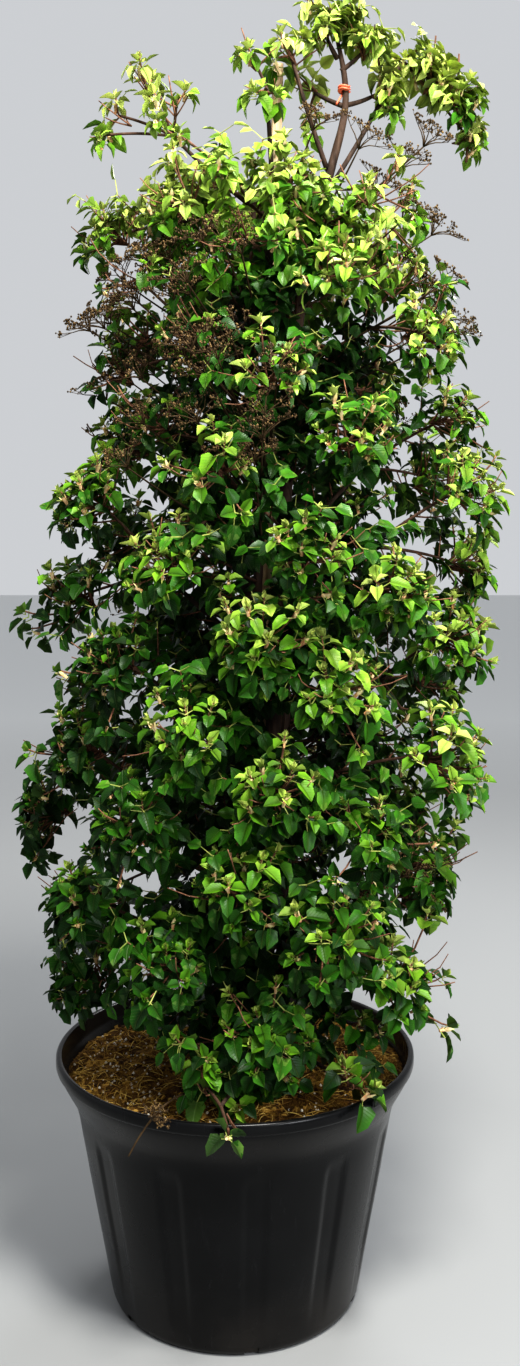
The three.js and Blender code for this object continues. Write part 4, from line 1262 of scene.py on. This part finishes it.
def stake_piece():
    """A sawn stake with worn corners, checked and slightly uneven along its length."""
    low = trunk_at(stake_low.z)
    high = trunk_at(stake_high.z)
    steps = 120
    path = [tuple(low.lerp(high, i / steps)) for i in range(steps + 1)]
    half = stake_width / 2
    corner_reach = half * 1.16
    sides = 16
    rows = []
    for _, _, z in path:
        row = []
        for i in range(sides):
            angle = 2 * math.pi * i / sides
            square = half / max(abs(math.cos(angle)), abs(math.sin(angle)))
            worn = min(square, corner_reach)
            rough = noise.noise(Vector((math.cos(angle) * 3, math.sin(angle) * 3, z * 5)))
            row.append(worn * (0.975 + 0.035 * rough))
        rows.append(row)
    build = Build()
    tube(build, path, np.array(rows), sides)
    build.piece("stake_sawn", ["stake"], "stake_wood", "stake", crease=40)


TIE_TURNS = 2.2
TIE_STEPS = 90
TIE_SIDES = 8
TAIL_STEPS = 10


def tie_piece():
    """A band wound twice round the leader, with a short loose end."""
    low, high = (Vector(corner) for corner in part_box("tie_band"))
    centre = (low + high) / 2
    radius = (high.y - low.y) / 2 - 0.0015
    height = high.z - low.z
    build = Build()
    path = []
    for i in range(TIE_STEPS + 1):
        share = i / TIE_STEPS
        angle = share * TIE_TURNS * 2 * math.pi
        grown = radius * (0.97 + 0.05 * share)
        path.append((
            centre.x + grown * math.cos(angle),
            centre.y + grown * math.sin(angle),
            centre.z + (share - 0.5) * height * 0.55 + 0.0012 * math.sin(angle * 2),
        ))
    profile = [0.0011 + 0.0028 * abs(math.sin(math.pi * 2 * i / TIE_SIDES)) for i in range(TIE_SIDES)]
    tube(build, path, np.tile(profile, (TIE_STEPS + 1, 1)), TIE_SIDES)
    end_x, end_y, _ = path[-1]
    loose_end = [
        path[-1],
        (end_x - 0.006, end_y - 0.004, centre.z - 0.008),
        (centre.x - 0.015, centre.y - 0.008, centre.z - 0.03),
    ]
    tail = smooth_path(loose_end, TAIL_STEPS)
    tube(build, tail, np.tile(profile, (TAIL_STEPS + 1, 1)) * 0.8, TIE_SIDES)
    build.piece("tie_band_wound", ["tie"], "tie", "tie_band")


# Dried flower heads

# Radii of a head's stalks, from its hub out
RAY_RADIUS = 0.0011
FORK_RADIUS = 0.0006
LAST_RADIUS = 0.00035
CASE_RADII = (0.0013, 0.0025)
HEAD_SPREAD = 0.075
INNER_HEAD_SPREADS = (0.055, 0.08)
STALK_STEPS = 12


def corymb(build, hub, facing, spread, draws):
    """A flat-topped head: rays fork twice, and each last stalk bears a dry seed case."""
    first = any_square_to(facing)
    rays = []
    forks = []
    cases = []
    count = draws.randint(6, 8)
    for i in range(count):
        radial = Quaternion(facing, i * 2 * math.pi / count + draws.uniform(-0.3, 0.3)) @ first
        out = spread * draws.uniform(0.45, 0.8) * (0.55 if i % 3 == 0 else 1)
        knee = hub + radial * out * 0.62 + facing * spread * draws.uniform(0.28, 0.4)
        rays.append((hub, hub + radial * out * 0.22 + facing * spread * 0.22, knee, RAY_RADIUS))
        for _ in range(draws.randint(3, 4)):
            twist = Quaternion(facing, draws.uniform(0, ANY_ANGLE)) @ radial
            end = knee + twist * spread * draws.uniform(0.08, 0.26) + radial * out * 0.3
            end += facing * spread * draws.uniform(0.08, 0.2)
            forks.append((knee, knee.lerp(end, 0.5) + facing * spread * 0.04, end, FORK_RADIUS))
            for _ in range(draws.randint(4, 5)):
                around = Quaternion(facing, draws.uniform(0, ANY_ANGLE)) @ radial
                last = end + around * spread * draws.uniform(0.02, 0.12)
                last += facing * spread * draws.uniform(0.02, 0.09)
                forks.append((end, end.lerp(last, 0.5), last, LAST_RADIUS))
                cases.append((last, draws.uniform(*CASE_RADII), draws.random()))
    for rows, sides, steps in ((rays, 4, 4), (forks, 3, 2)):
        start, control, end = (np.array([tuple(row[i]) for row in rows]) for i in range(3))
        thick = np.array([row[3] for row in rows])[:, None]
        rings = bend(start, control, end, steps)
        strands(build, rings, thick * np.linspace(1.1, 0.8, steps)[None], sides, tone=0.35)
    grains_at(build, cases)


def grains_at(build, grains):
    """Small eight-sided grains at the given (place, radius, tone)."""
    points = np.array([(1, 0, 0), (-1, 0, 0), (0, 1, 0), (0, -1, 0), (0, 0, 1.2), (0, 0, -1.2)])
    faces = np.array([
        (0, 2, 4), (2, 1, 4), (1, 3, 4), (3, 0, 4),
        (2, 0, 5), (1, 2, 5), (3, 1, 5), (0, 3, 5),
    ])
    places = np.array([tuple(place) for place, _, _ in grains])
    radii = np.array([radius for _, radius, _ in grains])
    tones = np.array([tone for _, _, tone in grains])
    corners = (places[:, None] + radii[:, None, None] * points[None]).reshape(-1, 3)
    size = len(points)
    build.add(corners, repeated(faces, size, len(grains)), 0, tone=tones.repeat(size))


def stalk_to(build, start, hub, sag, radius):
    """A head's stalk, which sags a little and thins to half its radius at the hub."""
    control = start.lerp(hub, 0.55) - UP * sag
    rings = bend([tuple(start)], [tuple(control)], [tuple(hub)], STALK_STEPS)
    strands(build, rings, [np.linspace(radius, radius * 0.5, STALK_STEPS)], 6, tone=0.2)


def dried_head(node, seed):
    """The head that a node of the frame stands for, at that node's own hub."""
    points, _ = welded(node)
    root = Vector(min(points, key=from_stem))
    far = points[np.linalg.norm(points - np.array(root), axis=1) > FOOT_REACH]
    hub = Vector(densest(far, HUB_REACH))
    facing = (outward_at(hub) * 0.5 + UP).normalized()
    build = Build(("tone",))
    stalk_to(build, root, hub, sag=0.012, radius=0.0032)
    corymb(build, hub, facing, HEAD_SPREAD, random.Random(seed))
    build.piece(node + "_lace", ["dried"], "dried_flower", node)


# More dried heads: lowest, highest, angles from and to, how far past the clusters, how many
HEAD_BANDS = [
    (1.70, 1.98, -88, -8, -0.01, 0.06, 21),
    (1.54, 1.74, -55, 18, 0.0, 0.05, 9),
    (1.84, 2.04, 62, 104, 0.0, 0.06, 6),
    (2.08, 2.20, 20, 90, -0.05, 0.02, 4),
    (1.60, 1.86, -105, -80, 0.0, 0.05, 4),
    (0.66, 0.86, 50, 90, -0.06, 0.0, 2),
    (1.20, 2.00, 120, 240, -0.04, 0.04, 5),
]


def shell_reach(height, angle, clusters):
    """How far the clusters nearest to a height and an angle stand from the plant's middle."""
    direction = level_at(angle)

    def gap(centre):
        return abs(centre.z - height) + 0.25 * (outward_at(centre) - direction).length

    nearest = sorted((centre for centre, _, _ in clusters), key=gap)[:3]
    return sum((centre - trunk_at(centre.z)).xy.length for centre in nearest) / 3


def inner_heads(clusters):
    """Heads that stand out of the leaves, on stalks that start at the stems."""
    draws = random.Random(SEEDS["inner_heads"])
    build = Build(("tone",))
    for low, high, left, right, near, far, count in HEAD_BANDS:
        for _ in range(count):
            height = draws.uniform(low, high)
            angle = math.radians(draws.uniform(left, right))
            reach = shell_reach(height, angle, clusters) + draws.uniform(near, far)
            middle = trunk_at(height)
            hub = middle + level_at(angle) * reach
            start = stem_tree.find_nearest(trunk_at(height - 0.14) + (hub - middle) * 0.2)[0]
            facing = (outward_at(hub) * 0.8 + UP).normalized()
            stalk_to(build, start, hub, sag=0.01, radius=0.0028)
            corymb(build, hub, facing, draws.uniform(*INNER_HEAD_SPREADS), draws)
    build.piece("dried_heads_among_leaves", ["dried"], "dried_flower")


# The fallen stalk's route, from the soil over the rim, as its solid has it
FALLEN_ROUTE = [
    (-0.012, -0.070, 0.462),
    (-0.040, -0.150, 0.462),
    (-0.100, -0.262, 0.482),
    (-0.128, -0.322, 0.481),
    (-0.152, -0.350, 0.458),
    (-0.172, -0.356, 0.424),
]
# Steps along it, the one that its head lies beside, and its radii from end to end
FALLEN_STEPS = 40
FALLEN_HEAD_STEP = 27
FALLEN_RADII = (0.0028, 0.0014)


def fallen_stalk():
    """A dead stalk that bends over the rim, with a small head left beside it."""
    build = Build(("tone",))
    path = smooth_path(FALLEN_ROUTE, FALLEN_STEPS)
    tube(build, path, np.linspace(*FALLEN_RADII, FALLEN_STEPS + 1), 6, tone=0.4)
    hub = Vector(path[FALLEN_HEAD_STEP]) + Vector((0.004, -0.004, 0.004))
    facing = Vector((0.5, -0.3, 0.6)).normalized()
    corymb(build, hub, facing, 0.035, random.Random(SEEDS["fallen_stalk"]))
    build.piece("fallen_flower_stalk_dry", ["dried"], "dried_flower", "fallen_flower_stalk")


# Pot

# Outer side from the foot up: (radius, height)
POT_OUTSIDE = [
    (0.225, 0.0),
    (0.231, 0.0008),
    (0.2355, 0.0035),
    (0.2382, 0.0090),
    (0.2400, 0.0140),
    (0.2405, 0.0170),
    (0.2425, 0.0250),
    (0.2455, 0.0420),
    (0.2475, 0.0520),
    (0.2495, 0.0640),
    (0.2530, 0.0850),
    (0.2620, 0.1350),
    (0.2720, 0.1900),
    (0.2820, 0.2450),
    (0.2910, 0.2980),
    (0.2965, 0.3280),
    (0.2985, 0.3400),
    (0.3005, 0.3520),
    (0.3025, 0.3630),
    (0.3042, 0.3700),
    (0.3072, 0.3820),
    (0.3110, 0.3920),
    (0.3180, 0.4050),
    (0.3270, 0.4210),
    (0.3350, 0.4360),
    (0.3388, 0.4440),
    (0.3405, 0.4490),
    (0.3438, 0.4515),
    (0.3450, 0.4550),
    (0.3452, 0.4620),
    (0.3448, 0.4680),
    (0.3430, 0.4708),
    (0.3405, 0.4719),
]
# Inner side from the lip down: (radius, height)
POT_INSIDE = [
    (0.3370, 0.4718),
    (0.3345, 0.4706),
    (0.3334, 0.4680),
    (0.3330, 0.4450),
    (0.3290, 0.4360),
    (0.3200, 0.4200),
    (0.3120, 0.4050),
    (0.3060, 0.3920),
    (0.2980, 0.3660),
    (0.2350, 0.0060),
]
CHANNEL_ANGLE = math.radians(8)
CHANNEL_COUNT = 12
CHANNEL_DEPTH = 0.0042
CHANNEL_HALF = math.radians(4.1)
CHANNEL_SLOPE = math.radians(1.7)
# Heights over which a channel fades in at its foot and out under the collar
CHANNEL_FOOT = (0.016, 0.13)
CHANNEL_TOP = (0.335, 0.365)
NOTCH_HALF = math.radians(3.0)
NOTCH_HEIGHT = 0.016
NOTCH_DEPTH = 0.013
# Degrees from a channel's middle, closer together at its edge. The last is halfway to the next channel.
CHANNEL_STEPS = [0, 1.5, 2.3, 2.9, 3.05, 3.5, 4.1, 4.7, 5.3, 6, 7, 9, 11, 13, 15]
# How dusty the pot is near its foot, on its collar, inside and underneath
FOOT_DUST = 0.16
COLLAR_DUST = 0.08
INNER_DUST = 0.35
UNDER_DUST = 0.5
DUST_HEIGHT = 0.16
COLLAR_FOOT = (0.37, 0.40)
COLLAR_TOP = (0.43, 0.45)


def pot_inset(offset, height, is_notched):
    """How far the outer wall steps in at an angle from a channel's middle."""
    beside = abs(offset)
    across = 1 - smoothstep(CHANNEL_HALF - CHANNEL_SLOPE, CHANNEL_HALF + CHANNEL_SLOPE, beside)
    below_top = 1 - smoothstep(*CHANNEL_TOP, height + 0.5 * beside**2)
    upward = smoothstep(*CHANNEL_FOOT, height) * below_top
    inset = CHANNEL_DEPTH * across * upward
    if is_notched and height < NOTCH_HEIGHT and beside <= NOTCH_HALF * 0.99:
        inset = NOTCH_DEPTH
    return inset


def pot_dust(height, is_outside):
    """How dusty the wall is at a height, from 0 to 1."""
    low = FOOT_DUST * (1 - smoothstep(0.0, DUST_HEIGHT, height))
    collar = COLLAR_DUST * (smoothstep(*COLLAR_FOOT, height) * (1 - smoothstep(*COLLAR_TOP, height)))
    return max(low, collar, 0.0 if is_outside else INNER_DUST)


def pot_piece():
    """The pot's shell: rings of points, each stepped in where a channel or notch crosses it."""
    beside = [math.radians(step) for step in CHANNEL_STEPS]
    offsets = [-offset for offset in reversed(beside[1:-1])] + beside
    angles = []
    for channel in range(CHANNEL_COUNT):
        middle = channel * 2 * math.pi / CHANNEL_COUNT
        angles += [(middle + offset, offset, channel % 2 == 0) for offset in offsets]
    profile = [(*corner, True) for corner in POT_OUTSIDE] + [(*corner, False) for corner in POT_INSIDE]
    points = []
    dust = []
    for radius, height, is_outside in profile:
        for angle, offset, is_notched in angles:
            inset = pot_inset(offset, height, is_notched) if is_outside else 0.0
            turn = CHANNEL_ANGLE + angle
            reach = radius - inset
            points.append((reach * math.sin(turn), -reach * math.cos(turn), height))
            dust.append(pot_dust(height, is_outside))
    count = len(angles)
    triangles = wall_faces(len(profile), count)
    foot = len(points)
    floor = foot + 1
    points += [(0, 0, 0), (0, 0, POT_INSIDE[-1][1])]
    dust += [UNDER_DUST, UNDER_DUST]
    last = (len(profile) - 1) * count
    for i in range(count):
        j = (i + 1) % count
        triangles += [(foot, j, i), (floor, last + i, last + j)]
    build = Build(("dust",))
    build.add(points, triangles, 0, dust=np.array(dust))
    build.piece("pot_moulded", ["pot"], "pot_plastic", "pot", crease=34)


# Soil and what lies on it

SOIL_RADIUS = 0.3265
SOIL_EDGE = 0.430
SOIL_TOP = Vector(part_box("soil")[1]).z
SOIL_RINGS = 56
SOIL_SPOKES = 140
# Lumps: how fine, and how high
SOIL_LUMPS = [(14, 0.006), (42, 0.0035), (110, 0.0018)]
# Under the surface: (radius, height)
SOIL_BELOW = [(0.305, 0.392), (0.295, 0.366), (0.232, 0.007)]
CHIPS = 2100
FIBRES = 1600
GRANULES = 420


def soil_height(x, y):
    """A low mound, lumpy, and drawn down a little at its edge."""
    share = min(1.0, math.hypot(x, y) / SOIL_RADIUS)
    mound = SOIL_EDGE + (SOIL_TOP - SOIL_EDGE) * (1 - share**2.2)
    spot = Vector((x, y, 0.3))
    lumps = sum(high * noise.noise(spot * fineness) for fineness, high in SOIL_LUMPS)
    return mound + lumps - 0.004 * smoothstep(0.93, 1.0, share)


def soil_piece():
    """The whole of the mix: its lumpy top, its sides down the pot's wall and its flat foot."""
    spokes = SOIL_SPOKES
    tops = [(SOIL_RADIUS * (ring / SOIL_RINGS) ** 0.8, None) for ring in range(1, SOIL_RINGS + 1)]
    rings = tops + SOIL_BELOW
    points = [(0, 0, soil_height(0, 0))]
    for radius, height in rings:
        for i in range(spokes):
            angle = 2 * math.pi * i / spokes
            x = radius * math.cos(angle)
            y = radius * math.sin(angle)
            points.append((x, y, soil_height(x, y) if height is None else height))
    triangles = [(0, 1 + i, 1 + (i + 1) % spokes) for i in range(spokes)]
    for row in range(len(rings) - 1):
        for i in range(spokes):
            a = 1 + row * spokes + i
            b = 1 + row * spokes + (i + 1) % spokes
            triangles += [(a, a + spokes, b + spokes), (a, b + spokes, b)]
    foot = len(points)
    points.append((0, 0, SOIL_BELOW[-1][1]))
    last = 1 + (len(rings) - 1) * spokes
    triangles += [(foot, last + (i + 1) % spokes, last + i) for i in range(spokes)]
    build = Build()
    build.add(points, triangles)
    build.piece("soil_mix", ["soil"], "potting_mix", "soil")


def scatter_place(draws, share):
    """A random place on the soil, no further out than this share of its radius."""
    radius = SOIL_RADIUS * share * math.sqrt(draws.random())
    angle = draws.uniform(0, 2 * math.pi)
    x = radius * math.cos(angle)
    y = radius * math.sin(angle)
    return Vector((x, y, soil_height(x, y)))


def chips_piece():
    """Bark chips, each an uneven block lying at its own slant."""
    draws = random.Random(SEEDS["chips"])
    corners = [(x, y, z) for z in (-1, 1) for y in (-1, 1) for x in (-1, 1)]
    faces = np.array([
        (0, 2, 1), (1, 2, 3), (4, 5, 6), (5, 7, 6), (0, 1, 4), (1, 5, 4),
        (2, 6, 3), (3, 6, 7), (0, 4, 2), (2, 4, 6), (1, 3, 5), (3, 7, 5),
    ])
    build = Build(("tone",))
    for _ in range(CHIPS):
        place = scatter_place(draws, 0.985)
        long = draws.uniform(0.005, 0.017)
        wide = long * draws.uniform(0.3, 0.7)
        thin = long * draws.uniform(0.12, 0.35)
        axis = (draws.uniform(-0.5, 0.5), draws.uniform(-0.5, 0.5), 1)
        slant = Quaternion(axis, draws.uniform(0, ANY_ANGLE))
        shape = []
        for corner in corners:
            uneven = [draws.uniform(0.55, 1.0) for _ in range(3)]
            measures = zip(corner, (long, wide, thin), uneven)
            reach = Vector([sign * size * own for sign, size, own in measures])
            shape.append(tuple(place + slant @ reach / 2))
        build.add(shape, faces, 0, tone=draws.random())
    build.piece("bark_chips", ["chip"], "potting_mix", crease=30)


def fibres_piece():
    """Coconut fibres that curl over the chips."""
    draws = random.Random(SEEDS["fibres"])
    curves = []
    tones = []
    for _ in range(FIBRES):
        place = scatter_place(draws, 0.97)
        angle = draws.uniform(0, ANY_ANGLE)
        length = draws.uniform(0.012, 0.05)
        end = place + Vector((math.cos(angle), math.sin(angle), 0)) * length
        if math.hypot(end.x, end.y) > SOIL_RADIUS * 0.98:
            continue
        end.z = soil_height(end.x, end.y) + draws.uniform(0.0, 0.005)
        side = Vector((-math.sin(angle), math.cos(angle), 0)) * length * draws.uniform(-0.4, 0.4)
        control = place.lerp(end, 0.5) + side + UP * draws.uniform(0.002, 0.012)
        curves.append((tuple(place), tuple(control), tuple(end)))
        tones.append(draws.random())
    build = Build(("tone",))
    profile = [0.0005, 0.0008, 0.0008, 0.0004]
    rings = bend(*zip(*curves), len(profile))
    radii = np.tile(profile, (len(curves), 1))
    strands(build, rings, radii, 3, tone=np.array(tones))
    build.piece("coir_fibres", ["fibre"], "potting_mix")


def granules_piece():
    """White granules, thickest at the left and towards the front."""
    draws = random.Random(SEEDS["granules"])
    build = Build(("tone",))
    grains = []
    while len(grains) < GRANULES:
        place = scatter_place(draws, 0.97)
        left = smoothstep(0.12, -0.25, place.x)
        front = smoothstep(-0.1, -0.3, place.y) * 0.5
        if draws.random() < 0.2 + 0.8 * max(left, front):
            grains.append((place + UP * 0.0014, draws.uniform(0.0014, 0.0036), draws.random()))
    grains_at(build, grains)
    build.piece("white_granules", ["granule"], "potting_mix")


# Floor, lamps and camera

FLOOR_HALF = 30.0
WORLD_COLOR = (0.80, 0.82, 0.85, 1)
WORLD_STRENGTH = 0.66
# Each lamp: its name, place, the point it faces, its width, power and colour
LAMPS = [
    ("key", (0.5, -1.45, 3.7), (0.0, 0.0, 1.5), 0.7, 175, (1.0, 0.98, 0.93)),
    ("fill", (1.9, -2.5, 1.9), (0.0, 0.0, 1.0), 1.2, 70, (0.95, 0.97, 1.0)),
    ("back", (0.9, 2.4, 3.3), (0.0, 0.0, 1.3), 1.4, 60, (0.97, 0.98, 1.0)),
]


def floor_piece(scene):
    """A pale floor that grows lighter away from the plant: painted light, which makes up for the lamps'
    light falling off further out.
    """
    half = FLOOR_HALF
    mesh = bpy.data.meshes.new("floor")
    corners = [(-half, -half, 0), (half, -half, 0), (half, half, 0), (-half, half, 0)]
    mesh.from_pydata(corners, [], [(0, 1, 2, 3)])
    floor = bpy.data.objects.new("floor", mesh)
    scene.collection.objects.link(floor)
    look = Shader("floor_pale")
    away = look.node("ShaderNodeVectorMath", operation="LENGTH")
    look.plug(look.place(), away.inputs[0])
    # Painted light: paler further out, where the lamps give less light
    far = look.spread(away.outputs["Value"], 1.0, 8.0)
    color = look.ramp(far, [(0.0, (0.30, 0.305, 0.305)), (1.0, (0.66, 0.67, 0.67))])
    mesh.materials.append(look.finish(color, 0.7, 0.2))


def lamp(scene, name, place, target, size, power, color):
    """A round soft lamp that faces the target."""
    data = bpy.data.lights.new(name, "AREA")
    data.shape = "DISK"
    data.size = size
    data.energy = power
    data.color = color
    made = bpy.data.objects.new(name, data)
    made.location = place
    made.rotation_euler = (Vector(target) - Vector(place)).to_track_quat("-Z", "Y").to_euler()
    scene.collection.objects.link(made)


def studio():
    scene = bpy.context.scene
    floor_piece(scene)
    world = bpy.data.worlds.new("studio")
    scene.world = world
    world.use_nodes = True
    background = world.node_tree.nodes["Background"]
    background.inputs["Color"].default_value = WORLD_COLOR
    background.inputs["Strength"].default_value = WORLD_STRENGTH
    for row in LAMPS:
        lamp(scene, *row)
    camera = bpy.data.cameras.new("camera")
    camera.lens = CAMERA_LENS
    camera.shift_y = CAMERA_SHIFT
    view = bpy.data.objects.new("camera", camera)
    view.location = CAMERA_PLACE
    view.rotation_euler = (math.radians(90) - CAMERA_TILT, 0, 0)
    scene.collection.objects.link(view)
    scene.camera = view
    scene.view_settings.view_transform = "Standard"
    scene.view_settings.look = "Medium High Contrast"
    scene.view_settings.exposure = 0.0


# The plant, piece by piece

# Shoots near the stems: name, seed, lowest, highest, how many, reaches from and to, angles from and to
STEM_SHOOTS = [
    ("low_front_shoots", 301, 0.48, 0.66, 10, (0.10, 0.22), (-80, 62)),
    ("soil_front_shoots", 305, 0.455, 0.50, 6, (0.15, 0.27), (-42, 22)),
    ("middle_front_shoots", 306, 0.95, 1.35, 8, (0.17, 0.29), (-30, 30)),
    ("low_back_shoots", 302, 0.50, 0.66, 6, (0.08, 0.20), (100, 260)),
    ("climbing_front_shoots", 303, 0.62, 2.10, 42, (0.12, 0.25), (-90, 90)),
    ("climbing_back_shoots", 304, 0.62, 2.10, 30, (0.12, 0.24), (90, 270)),
]

studio()
pot_piece()
soil_piece()
chips_piece()
fibres_piece()
granules_piece()
stake_piece()
tie_piece()
for stem in stem_nodes:
    main_stem(stem)
for index, node in enumerate(head_nodes):
    dried_head(node, SEEDS["heads"] + index)
skeletons = {node: branch_skeleton(node) for node in branch_nodes}
inner_heads([cluster for _, _, clusters in skeletons.values() for cluster in clusters])
fallen_stalk()
for index, node in enumerate(branch_nodes):
    branch(node, SEEDS["branches"] + index, skeletons[node])
leader_tip()
for row in STEM_SHOOTS:
    stem_shoots(*row)

bpy.context.view_layer.update()
